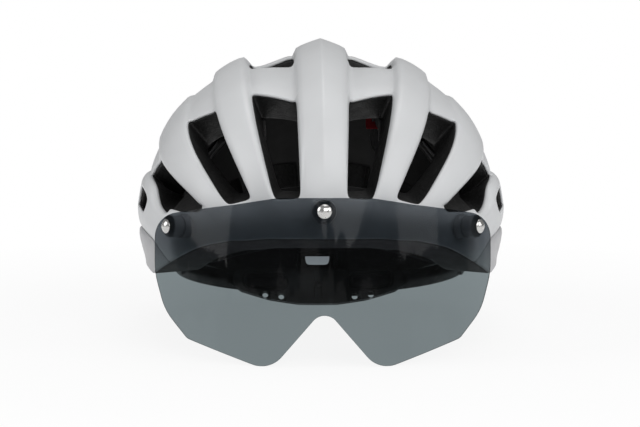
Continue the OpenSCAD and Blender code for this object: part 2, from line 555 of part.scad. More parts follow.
// child +Z points straight out of the lens at x, with its origin on the lens's outer face
module at_lens(x, z) translate([x, visor_y - sqrt(pow(visor_r, 2) - x * x), z])
    rotate([0, 0, asin(x / visor_r)]) rotate([90, 0, 0]) children();
function lens_point(x, z) = [x, visor_y - sqrt(pow(visor_r, 2) - x * x), z];
module visor_lens() color([0.3, 0.33, 0.35, 0.6]) stand() difference() {
    intersection() {
        translate([0, visor_y, visor_low - 1]) difference() {
            cylinder(r = visor_r, h = visor_top - visor_low + 2, $fn = 180);
            translate([0, 0, -1]) cylinder(r = visor_r - visor_t, h = visor_top - visor_low + 4, $fn = 180);
        }
        translate([0, visor_y, 0]) rotate([90, 0, 0]) linear_extrude(visor_r + 5) polygon(visor_outline);
    }
    for (p = stud_places) at_lens(p[0], p[1])
        translate([0, 0, -visor_t - 2]) cylinder(d = shank_d + 2 * fit_gap, h = visor_t + 4);
}

head_t = 1.7;
shank_in = 2.2;
module stud(k) color("silver") stand() at_lens(stud_places[k][0], stud_places[k][1]) {
    dome_r = (pow(stud_d / 2, 2) + head_t * head_t) / (2 * head_t);
    translate([0, 0, fit_gap]) intersection() {
        translate([0, 0, head_t - dome_r]) sphere(r = dome_r);
        cylinder(d = stud_d, h = head_t + 1);
    }
    translate([0, 0, -visor_t - shank_in]) cylinder(d = shank_d, h = visor_t + shank_in + head_t / 2);
}
module stud_middle() stud(0);
module stud_left() stud(1);
module stud_right() stud(2);

// A holder spans from the lens to its seat, whose foot fits the shell
function seat_depth(k) = first_wall(lens_point(stud_places[k][0], stud_places[k][1]),
    lens_in(stud_places[k][0]), seat_d / 2, 0, 0, visor_t, reach) - fit_gap;
function holder_end(k) = seat_depth(k) - seat_t - joint_gap;
module magnet_holder(k) color([0.07, 0.07, 0.075]) stand() at_lens(stud_places[k][0], stud_places[k][1])
    difference() {
        translate([0, 0, -holder_end(k)])
            cylinder(d1 = holder_d - 1.2, d2 = holder_d, h = holder_end(k) - holder_back);
        translate([0, 0, -holder_back - shank_in])
            cylinder(d = shank_d + 2 * fit_gap, h = shank_in + 1);
        translate([0, 0, -holder_end(k) - 1]) cylinder(d = magnet_d + 2 * fit_gap, h = 1 + magnet_t + fit_gap);
    }
module magnet_holder_middle() magnet_holder(0);
module magnet_holder_left() magnet_holder(1);
module magnet_holder_right() magnet_holder(2);
module visor_magnets() color("silver") stand()
    for (k = [0:2]) at_lens(stud_places[k][0], stud_places[k][1])
        translate([0, 0, -holder_end(k)]) cylinder(d = magnet_d, h = magnet_t);

seat_spokes = 24;
function seat_foot(k, u, v) =
    let (x = stud_places[k][0], z = stud_places[k][1], n = lens_in(x))
    [u, v, fit_gap - ray_depth(lens_point(x, z) + [u * n[1], -u * n[0], v], n, 0, 0, visor_t, reach)];
module visor_seat(k) color([0.07, 0.07, 0.075]) stand() at_lens(stud_places[k][0], stud_places[k][1])
    difference() {
        m = seat_spokes;
        ring = [for (q = [0:m - 1]) seat_d / 2 * [cos(360 * q / m), sin(360 * q / m)]];
        front = seat_t - seat_depth(k);
        polyhedron(
            points = concat([for (p = ring) [p[0] * 0.93, p[1] * 0.93, front]],
                            [for (p = ring) seat_foot(k, p[0], p[1])], [seat_foot(k, 0, 0)]),
            faces = concat([[for (q = [m - 1:-1:0]) q]],
                           [for (q = [0:m - 1]) [q, (q + 1) % m, m + (q + 1) % m, m + q]],
                           [for (q = [0:m - 1]) [m + q, m + (q + 1) % m, 2 * m]]));
        translate([0, 0, -seat_depth(k) + seat_t - magnet_t - fit_gap])
            cylinder(d = magnet_d + 2 * fit_gap, h = magnet_t + 1);
    }
module visor_seat_middle() visor_seat(0);
module visor_seat_left() visor_seat(1);
module visor_seat_right() visor_seat(2);
module shell_magnets() color("silver") stand()
    for (k = [0:2]) at_lens(stud_places[k][0], stud_places[k][1])
        translate([0, 0, -seat_depth(k) + seat_t - magnet_t]) cylinder(d = magnet_d, h = magnet_t);

// Cradle. Its own frame starts at the temple pins, with y back and down along its slope. Its
// plates and the two arms lie on arcs round one upright axis, with angles from straight back.
module in_cradle() translate([0, pin_y, pin_z]) rotate([-cradle_slope, 0, 0]) children();
module arm_arc(r0, r1, z0, z1, a0, a1) translate([0, arm_centre, 0])
    rotate([0, 0, 90 - a1]) rotate_extrude(angle = a1 - a0, $fn = 180)
    translate([r0, z0]) square([r1 - r0, z1 - z0]);
function arm_deg(mm) = mm / arm_r * 180 / PI;
arm_in = arm_r - arm_t / 2;
arm_out = arm_r + arm_t / 2;
back_in = arm_out + joint_gap;
back_out = back_in + plate_t;
front_out = arm_in - joint_gap;
front_in = front_out - plate_t;

pinion_teeth = 12;
pitch_r = pinion_teeth * tooth_module / 2;
tooth_pitch = PI * tooth_module;
backlash = 0.14;
rack_root = pitch_r + 1.35 * tooth_module;
rack_back = rack_root + 3;
lip_at = rack_back + joint_gap;
housing_top = lip_at + plate_t;
housing_low = -lip_at - plate_t - 2.6;
housing_half = 14;
wing_half = 53;
wing_top = arm_h / 2 + 1.2;
plate_half = [[12, housing_low], [30, housing_low + 2], [48, housing_low + 6], [wing_half, -3],
              [wing_half, wing_top - 3], [wing_half - 3, wing_top], [20, wing_top + 0.8],
              [housing_half, housing_top]];
plate_outline = concat(plate_half, [for (k = [len(plate_half) - 1:-1:0]) [-plate_half[k][0], plate_half[k][1]]]);
plate_hole_d = 3.8;
plate_holes = [[23, -8.2], [33, -7.6]];
module plate_cuts() {
    for (s = [-1, 1], h = plate_holes)
        translate([s * h[0], 0, h[1]]) rotate([-90, 0, 0]) cylinder(d = plate_hole_d, h = 200, $fn = 24);
    rotate([-90, 0, 0]) cylinder(d = shaft_d + 2 * fit_gap, h = 200);
}
module curved_plate(r0, r1) intersection() {
    arm_arc(r0, r1, housing_low - 5, housing_top + 5, -50, 50);
    rotate([90, 0, 0]) translate([0, 0, -200]) linear_extrude(200) polygon(plate_outline);
}
knob_boss_d = 18;
knob_base = arm_centre + back_out + 0.6;
module cradle_back() color([0.08, 0.08, 0.085]) stand() in_cradle() difference() {
    half = asin(housing_half / back_out) - 1;
    union() {
        curved_plate(back_in, back_out);
        arm_arc(front_out + fit_gap, back_in + 0.5, lip_at, housing_top, -half, half);
        arm_arc(front_out + fit_gap, back_in + 0.5, housing_low, -lip_at, -half, half);
        translate([0, arm_centre + back_in + 0.6, 0]) rotate([-90, 0, 0])
            cylinder(d = knob_boss_d, h = knob_base - arm_centre - back_in - 0.6);
    }
    plate_cuts();
}
module cradle_front() color([0.08, 0.08, 0.085]) stand() in_cradle() difference() {
    curved_plate(front_in, front_out);
    plate_cuts();
}

// Pinion: involute teeth between its root and its tips
tip_r = pitch_r + 0.95 * tooth_module;
root_r = pitch_r - 1.2 * tooth_module;
base_r = pitch_r * cos(20);
function involute(r) = r <= base_r ? 0 : let (t = sqrt(pow(r / base_r, 2) - 1)) t * 180 / PI - atan(t);
half_tooth = 90 / pinion_teeth - backlash / 2 / pitch_r * 90 / PI;
flank_r = [root_r, base_r, lerp(base_r, tip_r, 0.4), lerp(base_r, tip_r, 0.75), tip_r];
function tooth_angle(r) = half_tooth + involute(pitch_r) - involute(r);
gear_outline = [for (k = [0:pinion_teeth - 1]) each concat(
    [for (r = flank_r) let (a = (k + 0.5) * 360 / pinion_teeth - tooth_angle(r)) r * [sin(a), cos(a)]],
    [for (q = [len(flank_r) - 1:-1:0]) let (r = flank_r[q], a = (k + 0.5) * 360 / pinion_teeth + tooth_angle(r))
        r * [sin(a), cos(a)]])];
screw_d = 2;
screw_l = 7;
screw_head_d = 6;
screw_head_t = 1.4;
knob_low = knob_base + 1;
knob_high = knob_low + knob_t;
shaft_top = knob_high - screw_head_t - 1;
module dial_pinion() color([0.1, 0.1, 0.11]) stand() in_cradle() difference() {
    union() {
        translate([0, arm_centre + arm_in - fit_gap, 0]) rotate([90, 0, 0]) mirror([0, 0, 1])
            linear_extrude(arm_t + fit_gap) polygon(gear_outline);
        translate([0, arm_centre + front_in + fit_gap, 0]) rotate([-90, 0, 0])
            cylinder(d = shaft_d, h = shaft_top - arm_centre - front_in - fit_gap);
    }
    translate([0, shaft_top - screw_l, 0]) rotate([-90, 0, 0]) cylinder(d = screw_d + 2 * fit_gap, h = screw_l + 1);
}
knob_grips = 14;
module dial_knob() color([0.09, 0.09, 0.095]) stand() in_cradle() translate([0, knob_low, 0])
    rotate([-90, 0, 0]) difference() {
        union() {
            cylinder(d = knob_d, h = knob_t - 1);
            translate([0, 0, knob_t - 1]) cylinder(d1 = knob_d, d2 = knob_d - 2, h = 1);
        }
        for (k = [1:knob_grips]) rotate(360 * k / knob_grips)
            translate([knob_d / 2 + 0.9, 0, -1]) cylinder(d = 3.4, h = knob_t + 2, $fn = 20);
        translate([0, 0, -1]) cylinder(d = shaft_d + 2 * fit_gap, h = shaft_top - knob_low + 1 + fit_gap);
        translate([0, 0, -1]) cylinder(d = screw_d + 0.6, h = knob_t + 2);
        translate([0, 0, knob_t - screw_head_t]) cylinder(d = screw_head_d + 0.6, h = screw_head_t + 1);
    }
module dial_screw() color("silver") stand() in_cradle() rotate([-90, 0, 0]) difference() {
    union() {
        translate([0, 0, knob_high - screw_head_t + fit_gap / 2])
            cylinder(d = screw_head_d, h = screw_head_t - fit_gap / 2);
        translate([0, 0, shaft_top - screw_l + 0.4])
            cylinder(d = screw_d, h = knob_high - shaft_top + screw_l - screw_head_t);
    }
    for (a = [0, 90]) rotate(a) translate([-1.8, -0.4, knob_high - 0.7]) cube([3.6, 0.8, 1]);
}
// the ring that makes the dial click, fixed on the cradle under the knob
module click_spring() color("silver") stand() in_cradle() translate([0, knob_base + fit_gap, 0])
    rotate([-90, 0, 0]) difference() {
        cylinder(d = 14, h = 0.5);
        translate([0, 0, -1]) cylinder(d = 9, h = 2);
    }

// Arms. The right arm's rack runs under the pinion and the left arm's above it.
tongue_end = 13;
band_start = 31;
rack_first = -5;
rack_last = 6;
slot_half = arm_travel + 0.8;
slot_d = pin_d + joint_gap;
arm_front = arm_pin_angle + arm_deg(slot_half + slot_d / 2 + 4);
module rack_tooth() {
    root = tooth_pitch / 4 - backlash / 2 + (rack_root - pitch_r) * tan(20);
    tip = tooth_pitch / 4 - backlash / 2 - tooth_module * tan(20);
    translate([0, arm_centre + arm_in + 0.1, 0]) rotate([90, 0, 0]) mirror([0, 0, 1]) linear_extrude(arm_t - 0.2)
        polygon([[-root, -rack_root - 0.5], [-root, -rack_root], [-tip, tooth_module - pitch_r],
                 [tip, tooth_module - pitch_r], [root, -rack_root], [root, -rack_root - 0.5]]);
}
module arm_shape() difference() {
    union() {
        difference() {
            arm_arc(arm_in, arm_out, -rack_back, arm_h / 2, -arm_deg(tongue_end), arm_front);
            arm_arc(arm_in - 1, arm_out + 1, -rack_root, arm_h, -arm_deg(tongue_end + 2), arm_deg(band_start));
            arm_arc(arm_in - 1, arm_out + 1, -arm_h - rack_back, -arm_h / 2,
                arm_deg(band_start + 5), arm_front + 2);
        }
        for (k = [rack_first:rack_last]) translate([0, arm_centre, 0]) rotate(arm_deg(k * tooth_pitch))
            translate([0, -arm_centre, 0]) rack_tooth();
    }
    arm_arc(arm_in - 1, arm_out + 1, -slot_d / 2, slot_d / 2,
        arm_pin_angle - arm_deg(slot_half), arm_pin_angle + arm_deg(slot_half));
    for (s = [-1, 1]) translate([0, arm_centre, 0]) rotate(-arm_pin_angle - s * arm_deg(slot_half))
        translate([0, arm_in - 2, 0]) rotate([-90, 0, 0]) cylinder(d = slot_d, h = arm_t + 4);
}
module right_arm() color([0.1, 0.1, 0.11]) stand() in_cradle() arm_shape();
module left_arm() color([0.1, 0.1, 0.11]) stand() in_cradle() rotate([0, 180, 0]) arm_shape();

// Height adjuster: two rails rise from the cradle to a bar and a tongue that slides in its guide
rail_x = 10.5;
rail_w = 2.6;
bar_low = pin_deg(-7);
stem_foot = arm_centre + arm_r;
module adjuster_stem() color([0.09, 0.09, 0.095]) stand() {
    difference() {
        pin_arc(stem_r - stem_t / 2, stem_r + stem_t / 2, stem_w, pin_deg(-1), guide_at + guide_half + pin_deg(14));
        for (k = [0:3]) translate([0, pin_y, pin_z]) rotate([guide_at + pin_deg(6 * k - 4), 0, 0])
            translate([0, stem_r - stem_t, 0]) rotate([-90, 0, 0]) cylinder(d = 3, h = 2 * stem_t);
    }
    pin_arc(stem_r - stem_t / 2, stem_r + stem_t / 2, 2 * (rail_x + rail_w), bar_low, 0);
    bar = [stem_r * cos(bar_low + cradle_slope), stem_r * sin(bar_low + cradle_slope)];
    in_cradle() for (s = [-1, 1]) translate([s * (rail_x + rail_w / 2) - rail_w / 2, 0, 0])
        rotate([90, 0, 90]) linear_extrude(rail_w)
        polygon([[stem_foot - 1.6, housing_top + fit_gap], [stem_foot + 1.6, housing_top + fit_gap],
                 [bar[0] + 0.9, bar[1]], [bar[0] - 0.6, bar[1] + 2]]);
}

nape_pad_t = 4;
nape_angles = [14, 35];
nape_heights = [-4.5, 6];
nape_nu = 4;
nape_nv = 8;
function nape_sheet(side, front) = [for (j = [0:nape_nv], i = [0:nape_nu])
    let (u = 2 * i / nape_nu - 1, v = j / nape_nv, a = -side * lerp(nape_angles[0], nape_angles[1], v),
         mid = (nape_heights[0] + nape_heights[1]) / 2,
         z = mid - side * u * (nape_heights[1] - mid) * max(0.5, pad_end(v)),
         r = front_in - fit_gap - (front ? nape_pad_t * pad_crown(u, v) : 0))
    [-r * sin(a), arm_centre + r * cos(a), z]];
module nape_pad(side) color([0.09, 0.09, 0.1]) stand() in_cradle()
    sheet_solid(nape_sheet(side, false), nape_sheet(side, true),
        [for (j = [1:nape_nv]) [for (i = [1:nape_nu]) true]]);
module nape_pad_left() nape_pad(-1);
module nape_pad_right() nape_pad(1);

// Standing. The helmet rests on the visor's two lobes and on the cradle's lower edge.
function from_cradle(y, z) = [0, pin_y + y * cos(cradle_slope) + z * sin(cradle_slope),
                              pin_z - y * sin(cradle_slope) + z * cos(cradle_slope)];
function lobe_at(r) = [lobe_x, visor_y - sqrt(r * r - lobe_x * lobe_x), visor_low];
nape_foot = from_cradle(arm_centre + back_out, housing_low);
dial_foot = from_cradle(knob_high - 1, -knob_d / 2);
front_foot = lobe_at(visor_r - visor_t);
tilt = min([for (p = [nape_foot, dial_foot]) atan2(p[2] - front_foot[2], p[1] - front_foot[1])]);
function leant(p) = [p[0], p[1] * cos(tilt) + p[2] * sin(tilt), p[2] * cos(tilt) - p[1] * sin(tilt)];
front_y = leant(lens_point(0, stud_mid_z) - [0, head_t + fit_gap, 0])[1];
back_y = max([for (p = outer_points(0)) leant(p)[1]]);
stand_y = -(front_y + back_y) / 2;
stand_z = -leant(front_foot)[2];
module stand() translate([0, stand_y, stand_z]) rotate([-tilt, 0, 0]) children();

upper_shell();
lower_shell();
liner();
visor_seat_middle();
visor_seat_left();
visor_seat_right();
shell_magnets();
brow_pad();
crown_pad_front_left();
crown_pad_front_right();
crown_pad_rear_left();
crown_pad_rear_right();
side_pad_left();
side_pad_right();
hook_dots();
pad_tab();
temple_anchor_left();
temple_anchor_right();
stem_guide();
strap_anchors();
front_strap_left();
front_strap_right();
rear_strap_left();
rear_strap_right();
strap_divider_left();
strap_divider_right();
chin_strap_left();
chin_strap_right();
buckle_socket();
buckle_plug();
visor_lens();
stud_middle();
stud_left();
stud_right();
magnet_holder_middle();
magnet_holder_left();
magnet_holder_right();
visor_magnets();
cradle_back();
cradle_front();
adjuster_stem();
nape_pad_left();
nape_pad_right();
click_spring();
dial_knob();
dial_pinion();
dial_screw();
left_arm();
right_arm();
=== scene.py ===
"""Looks of the bicycle helmet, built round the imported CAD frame."""

import json
import math

import bmesh
import bpy
from mathutils import Matrix, Vector

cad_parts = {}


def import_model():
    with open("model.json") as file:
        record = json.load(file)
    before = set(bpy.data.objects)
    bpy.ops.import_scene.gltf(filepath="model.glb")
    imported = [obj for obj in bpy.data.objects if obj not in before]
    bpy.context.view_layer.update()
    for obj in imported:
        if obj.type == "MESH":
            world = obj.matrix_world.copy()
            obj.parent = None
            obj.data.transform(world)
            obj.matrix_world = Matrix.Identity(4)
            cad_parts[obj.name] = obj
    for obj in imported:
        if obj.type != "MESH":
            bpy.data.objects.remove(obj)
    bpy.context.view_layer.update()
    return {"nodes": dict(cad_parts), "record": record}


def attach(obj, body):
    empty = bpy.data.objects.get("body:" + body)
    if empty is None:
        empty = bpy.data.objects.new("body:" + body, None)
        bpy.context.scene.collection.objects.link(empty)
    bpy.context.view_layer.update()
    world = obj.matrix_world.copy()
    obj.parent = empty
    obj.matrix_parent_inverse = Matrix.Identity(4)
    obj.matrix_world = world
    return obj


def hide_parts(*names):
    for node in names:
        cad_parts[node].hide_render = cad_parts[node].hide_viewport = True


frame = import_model()
nodes = frame["nodes"]

# The hub frame, in millimetres: the point under the head that the dome's directions fan out
# from, x to the right, y to the back, z up. The helmet leans back by TILT from it and stands
# STAND_Y and STAND_Z off it.
TILT = math.radians(4.82469)
COS, SIN = math.cos(TILT), math.sin(TILT)
STAND_Y, STAND_Z = -1.00336, -1.40894

# Studio: each lamp's place and size in metres and its power in watts, and what they all aim at
LAMPS = [
    ("key", (0.5, -1.95, 1.15), (1.6, 1.0), 20),
    ("fill_right", (1.7, -0.9, 0.9), (1.0, 1.2), 11),
    ("fill_left", (-1.8, -0.5, 0.9), (1.0, 1.2), 14),
    ("top", (0.2, 0.2, 2.0), (1.6, 1.6), 13),
]
LAMP_AIM = (0, 0, 0.1)
AMBIENT = 0.2    # strength of the world's light on the object
FLOOR_HALF = 6   # metres
FLOOR_TONE = (0.86, 0.86, 0.865, 1)
# the share of the floor that is plain white to the eye, and where, in metres, it grows to all
FLOOR_WHITE, FADE_FROM, FADE_TO = 0.88, 0.18, 0.5
# Camera: its place in the hub frame, its turn about the upright, its lens, its shift and the
# metres between which it sees
EYE_AT = (-18.85, -1199.85, 75)
EYE_TURN = math.radians(0.9)
LENS_MM, SENSOR_MM, SHIFT_Y, CLIP = 114.95, 36, -0.0211, (0.05, 40)


def world(p):
    """A point of the hub frame in millimetres, in the row frame in metres."""
    return Vector((p[0], p[1] * COS + p[2] * SIN + STAND_Y, p[2] * COS - p[1] * SIN + STAND_Z)) / 1000


def turned(v):
    """A direction of the hub frame in the row frame."""
    return Vector((v[0], v[1] * COS + v[2] * SIN, v[2] * COS - v[1] * SIN))


def lerp(a, b, t):
    return a + (b - a) * t


def clamp(x, low=0.0, high=1.0):
    return max(low, min(high, x))


def smooth(a, b, x):
    t = clamp((x - a) / (b - a))
    return t * t * (3 - 2 * t)


def curve(knots, first, step, x):
    """The smooth curve through evenly spaced knots, held just short of its last one."""
    p = clamp((x - first) / step, 0, len(knots) - 1.0001)
    k = int(p)
    t = p - k
    y1, y2 = knots[k], knots[k + 1]
    y0 = knots[k - 1] if k > 0 else 2 * y1 - y2
    y3 = knots[k + 2] if k + 2 < len(knots) else 2 * y2 - y1
    return y1 + 0.5 * t * (y2 - y0 + t * (2 * y0 - 5 * y1 + 4 * y2 - y3 + t * (3 * (y1 - y2) + y3 - y0)))


# The dome. A direction from the hub is given in degrees by out, its angle from the middle plane,
# and by pitch, its angle over the top from the front (0) to the back (180).
CREST = [122, 153.5, 163.5, 164, 162.5, 163.5, 167, 170.5, 168.5, 158, 139.5, 112]   # each 15 from 15
FLANK = [108, 109.5, 110.5, 110.5, 109.5, 103, 90]   # each 30 from 0
SHELL_T, SKIN_GAP, FOAM_T, FOAM_SIDE_T = 1.6, 0.2, 25, 22
# the relief's heights and depths, and its rolled edges as shares of a zone
RIB_ROLL, KEEL_RIDGE, FACET, SIDE_DROP, SEAM_STEP, SIDE_TUCK, RIM_TUCK = 4.6, 5.5, 2.6, 3, 4, 1.6, 13
KEEL_EDGE, BAR_EDGE, BAR_END, RIB_EDGE, SIDE_EDGE, SEAM_EDGE = 0.16, 0.13, 0.16, 0.12, 0.2, 0.22
KEEL_CREASE, RIB_CREASE = 0.75, 0.35
# the pitches between which the relief comes and goes, the keel rises and the rim's tuck begins
RELIEF_FROM, RELIEF_TO, KEEL_FROM, TUCK_FROM = (27, 40), (148, 160), (33, 44), (24, 60)


def fullness(pitch):
    """How square the section is: round at the brow and the nape, fuller over the crown."""
    return 2.1 + 0.75 * smooth(25, 60, pitch) - 0.5 * smooth(125, 165, pitch)


def dome(out, pitch, side_in=0, top_in=0):
    """The dome's radius in a direction, drawn in at the sides and at the top."""
    o, n = math.radians(out), fullness(pitch)
    a = abs(math.sin(o)) / (curve(FLANK, 0, 30, pitch) - side_in)
    b = math.cos(o) / (curve(CREST, 15, 15, pitch) - top_in)
    return (a ** n + b ** n) ** (-1 / n)


def heading(out, pitch):
    o, p = math.radians(out), math.radians(pitch)
    return Vector((math.sin(o), -math.cos(o) * math.cos(p), math.cos(o) * math.sin(p)))


def inside(out, pitch, lift=0):
    """A point of the liner's inner face, or lift off it towards the hub."""
    return (dome(out, pitch, FOAM_SIDE_T, FOAM_T) - lift) * heading(out, pitch)


# Lines run front to back, each as how far out it lies at every 30 degrees of pitch from 20. The
# zones between them are 0 the keel's half, 1 the inner vents, 2 the first rib, 3 the outer vents,
# 4 the second rib, 5 the side vents, 6 the side band and 7 the skirt under the seam.
LINES = [
    [0, 0, 0, 0, 0, 0],
    [4.3, 5.0, 5.6, 5.6, 4.8, 3.5],
    [8.1, 13.2, 14.9, 14.3, 11.9, 8],
    [10.7, 20.3, 22.8, 21.8, 18.7, 13.2],
    [15.4, 27.4, 28.6, 28.4, 25.5, 19],
    [18, 35.5, 40.3, 39.3, 34.5, 25],
    [27.5, 40.2, 46.5, 45.5, 39.5, 29],
    [38, 52.5, 59.3, 56.5, 46.5, 37],
    [46, 63, 69.5, 67.5, 56, 44],
]
# Rows run across, each as its pitch at every line. The bands between them hold vents and bars.
ROWS = [
    [23, 23.1, 23.3, 23.6, 23.9, 24.5, 25.2, 25.2, 25.8],
    [29.9, 29.9, 30.1, 31.1, 31.3, 31.9, 37, 38, 39],
    [53, 54.3, 58.6, 57.3, 60.8, 50, 47, 47, 47],
    [73, 73, 75, 85, 87, 59, 64.5, 65, 65],
    [86, 86, 87, 94, 94, 78, 78, 80, 80],
    [94, 94, 95, 101, 101, 98, 98, 98, 98],
    [113, 113, 113, 113, 113, 112, 112, 112, 112],
    [121, 121, 121, 121, 121, 120, 120, 120, 120],
    [139, 139, 139, 139, 138, 136, 133.5, 131, 129],
    [146, 146, 146, 145.5, 144, 141, 137.5, 134.5, 132.5],
    [155, 155, 155, 154, 151, 148, 144.5, 140, 137],
    [159, 159, 159, 158, 156, 153, 149, 145, 142],
    [169.5, 169.5, 169.5, 169.2, 168.6, 167, 164.4, 158.5, 151],
]
# how much more pitch a row has on the liner's inside, so that the vents' walls slant
ROW_SLANT = [1.5, 0, 4, 0, 0, 0, 0, 15.5, 11, 6, 0.5, -2, -3]
# more of it by line, at the front vents' lower edge and behind the side vents
LEDGE = {1: [6, 6.5, 7, 7.5, 8, 15, 15, 6, 0], 2: [0, 0, 0, 0, 0, 1, 6, 3, 0]}
RIM_TURN = [-9, -6, -4, -4, -4, -5]   # degrees out for the rim's inner edge, at the lines' pitches
VENT_ROWS = [[], [1, 3, 5, 7, 9], [], [1, 3, 5, 7, 9], [], [1, 2, 4, 5, 7, 9], [], []]   # by zone
LAST = 8        # the rim's line
PORT_ROW = 11   # the nape band, with a port in its middle
BANDS = 12
EDGE_MM = 1.4   # from a line or row to the loop that keeps its corner tight
STEP_MM = 5.5   # the grid's usual step
ZONE_MM = [13, 21, 18, 19, 20, 19, 20, 22]
ROW_MM = [15, 65, 45, 34, 22, 45, 21, 48, 18, 24, 11, 27]


def shares(length, stops=()):
    """The grid's steps in one zone or band of that length: tight beside its ends and its stops."""
    ends = [0.0, *stops, 1.0]
    found = []
    for a, b in zip(ends, ends[1:]):
        mm = (b - a) * length
        edge = min(EDGE_MM, mm / 3)
        n = max(1, round((mm - 2 * edge) / STEP_MM))
        found += [a] + [a + (edge + (mm - edge - edge) * k / n) / length for k in range(n + 1)]
    return found


SLIT = (0.27, 0.62)   # the side band's slit, as shares of the band's width
PORT = (0.33, 0.67)
SHARE_FIT = 1e-6
VENT_ROUND, SIDE_ROUND, SLIT_ROUND = 3.2, 8.0, 3.5
DRAWN_ALONG, DRAWN_OFF = 0.69, 0.05     # how a rounded corner draws its neighbours, by its radius
# the bulge of the side vents' outer edge in degrees, and the pitch where it starts and its length
SIDE_BULGE, BULGE_FROM, BULGE_LONG = 2.4, 31, 21
# the grid: a column is a zone and a share across it, a rank a band and a share along it
columns = [(z, t) for z in range(LAST) for t in shares(ZONE_MM[z], SLIT if z == 6 else ())] + [(LAST, 0.0)]
ranks = [(r, s) for r in range(BANDS) for s in shares(ROW_MM[r], PORT if r == PORT_ROW else ())]
ranks += [(BANDS, 0.0)]
NC, NR = len(columns) - 1, len(ranks) - 1
GRID = [(i, j) for j in range(NR + 1) for i in range(-NC, NC + 1)]


def row_pitch(r, z, t, slant):
    lean = ROW_SLANT[r] + (lerp(LEDGE[r][z], LEDGE[r][min(z + 1, LAST)], t) if r in LEDGE else 0)
    return lerp(ROWS[r][z], ROWS[r][min(z + 1, LAST)], t) + slant * lean


def grid_pitch(i, j, slant=0):
    (z, t), (r, s) = columns[abs(i)], ranks[j]
    a = row_pitch(r, z, t, slant)
    return a if s == 0 else lerp(a, row_pitch(r + 1, z, t, slant), s)


def line_out(k, pitch):
    """How far out line k lies; the side vents' outer edge bulges at the temple."""
    bulge = SIDE_BULGE * math.sin(math.pi * clamp((pitch - BULGE_FROM) / BULGE_LONG)) ** 2 if k == 6 else 0
    return curve(LINES[k], 20, 30, pitch) + bulge


def grid_out(i, j):
    z, t = columns[abs(i)]
    p = grid_pitch(i, j)
    return math.copysign(1, i) * lerp(line_out(z, p), line_out(min(z + 1, LAST), p), t)


def inner_out(i, j):
    z, t = columns[abs(i)]
    low = clamp(z + t - LAST + 2, 0, 2) / 2
    return grid_out(i, j) + math.copysign(1, i) * low * low * curve(RIM_TURN, 20, 30, grid_pitch(i, j))


def cell_open(i, j):
    (z, t), (r, s) = columns[-i - 1 if i < 0 else i], ranks[j]
    return (r in VENT_ROWS[z]
            or (z == 6 and SLIT[0] <= t < SLIT[1] - SHARE_FIT and r == 2)
            or (z == 0 and r == PORT_ROW and PORT[0] <= s < PORT[1] - SHARE_FIT))


def corner(i, j):
    """Which way the one open cell lies, where a vent has its corner at this point."""
    found = [(di, dj) for di in (-1, 1) for dj in (-1, 1)
             if -NC <= i + min(di, 0) < NC and 0 <= j + min(dj, 0) < NR
             and cell_open(i + min(di, 0), j + min(dj, 0))]
    return found[0] if len(found) == 1 else None


def corner_radius(i, j):
    """The side vents' lower corners are the roundest, and the slit has its own."""
    (z, t), r = columns[abs(i)], ranks[j][0]
    if z == 6 or (z, r) == (5, 1):
        return SLIT_ROUND if t > 0 else SIDE_ROUND if r < 2 else VENT_ROUND
    return VENT_ROUND


def rounding(i, j):
    """How far a vent's edge point moves to round its corners, in mm outward and up."""
    here = corner(i, j)
    if here:
        reach = (1 - math.sqrt(0.5)) * corner_radius(i, j)
        return here[0] * reach, here[1] * reach
    for step in (-1, 1):
        for along, across in ((step, 0), (0, step)):
            near = corner(i + along, j + across) if abs(i + along) <= NC and 0 <= j + across <= NR else None
            if near and (near[0] == -along if along else near[1] == -across):
                radius = corner_radius(i + along, j + across)
                slide, lift = max(0.0, DRAWN_ALONG * radius - EDGE_MM), DRAWN_OFF * radius
                return (-step * slide, near[1] * lift) if along else (near[0] * lift, -step * slide)
    return 0.0, 0.0


def below_seam(i, j):
    z, r = columns[-i - 1 if i < 0 else i][0], ranks[j][0]
    return z == LAST - 1 or r == PORT_ROW


def rolled(d, width):
    """1 at a rib's edge, falling to 0 at the share width from it."""
    return (1 - clamp(d / width)) ** 2.2


def bar_drop(z, t, r):
    """How far the cross bars lie under the dome; the inner vents' bars slope outward."""
    if z == 1:
        return 5 - 1.5 * t if r < 4 else lerp(1, 9, t ** 0.6)
    return 5 if z == 3 else 4


def relief(i, j):
    """How far the shell's surface lies off the dome."""
    (z, t), (r, s) = columns[abs(i)], ranks[j]
    p = grid_pitch(i, j)
    shown = smooth(*RELIEF_FROM, p) * (1 - smooth(*RELIEF_TO, p))
    if z == 0:
        h = (1 + KEEL_RIDGE * (1 - t)) * smooth(*KEEL_FROM, p) - (RIB_ROLL + 1) * rolled(1 - t, KEEL_EDGE)
    elif z in (1, 3, 5):
        drop = bar_drop(z, t, r)
        h = -drop + (drop - RIB_ROLL) * rolled(min(t, 1 - t), BAR_EDGE)
        h -= rolled(min(s, 1 - s), BAR_END) * (0 if t in (0, 1) else 1)
    elif z in (2, 4):
        h = FACET * (0.35 - t) if z == 2 else -SIDE_DROP * (1 - t) ** 1.5 - 1.5 * t
        h -= (RIB_ROLL + h) * rolled(min(t, 1 - t), RIB_EDGE)
    elif z == 6:
        h = -SIDE_TUCK * t - RIB_ROLL * rolled(t, SIDE_EDGE)
        h -= SEAM_STEP * rolled(1 - t, SEAM_EDGE)
    else:
        h = -SIDE_TUCK - SEAM_STEP * (rolled(t, SEAM_EDGE) if z == 7 else 0)
    to_rim = 1 if z == LAST else t ** 1.3 if z == LAST - 1 else 0
    to_nape = 1 if r == PORT_ROW + 1 else s if r == PORT_ROW else 0
    return shown * h - RIM_TUCK * (1 - (1 - to_rim) * (1 - to_nape)) * smooth(*TUCK_FROM, p)


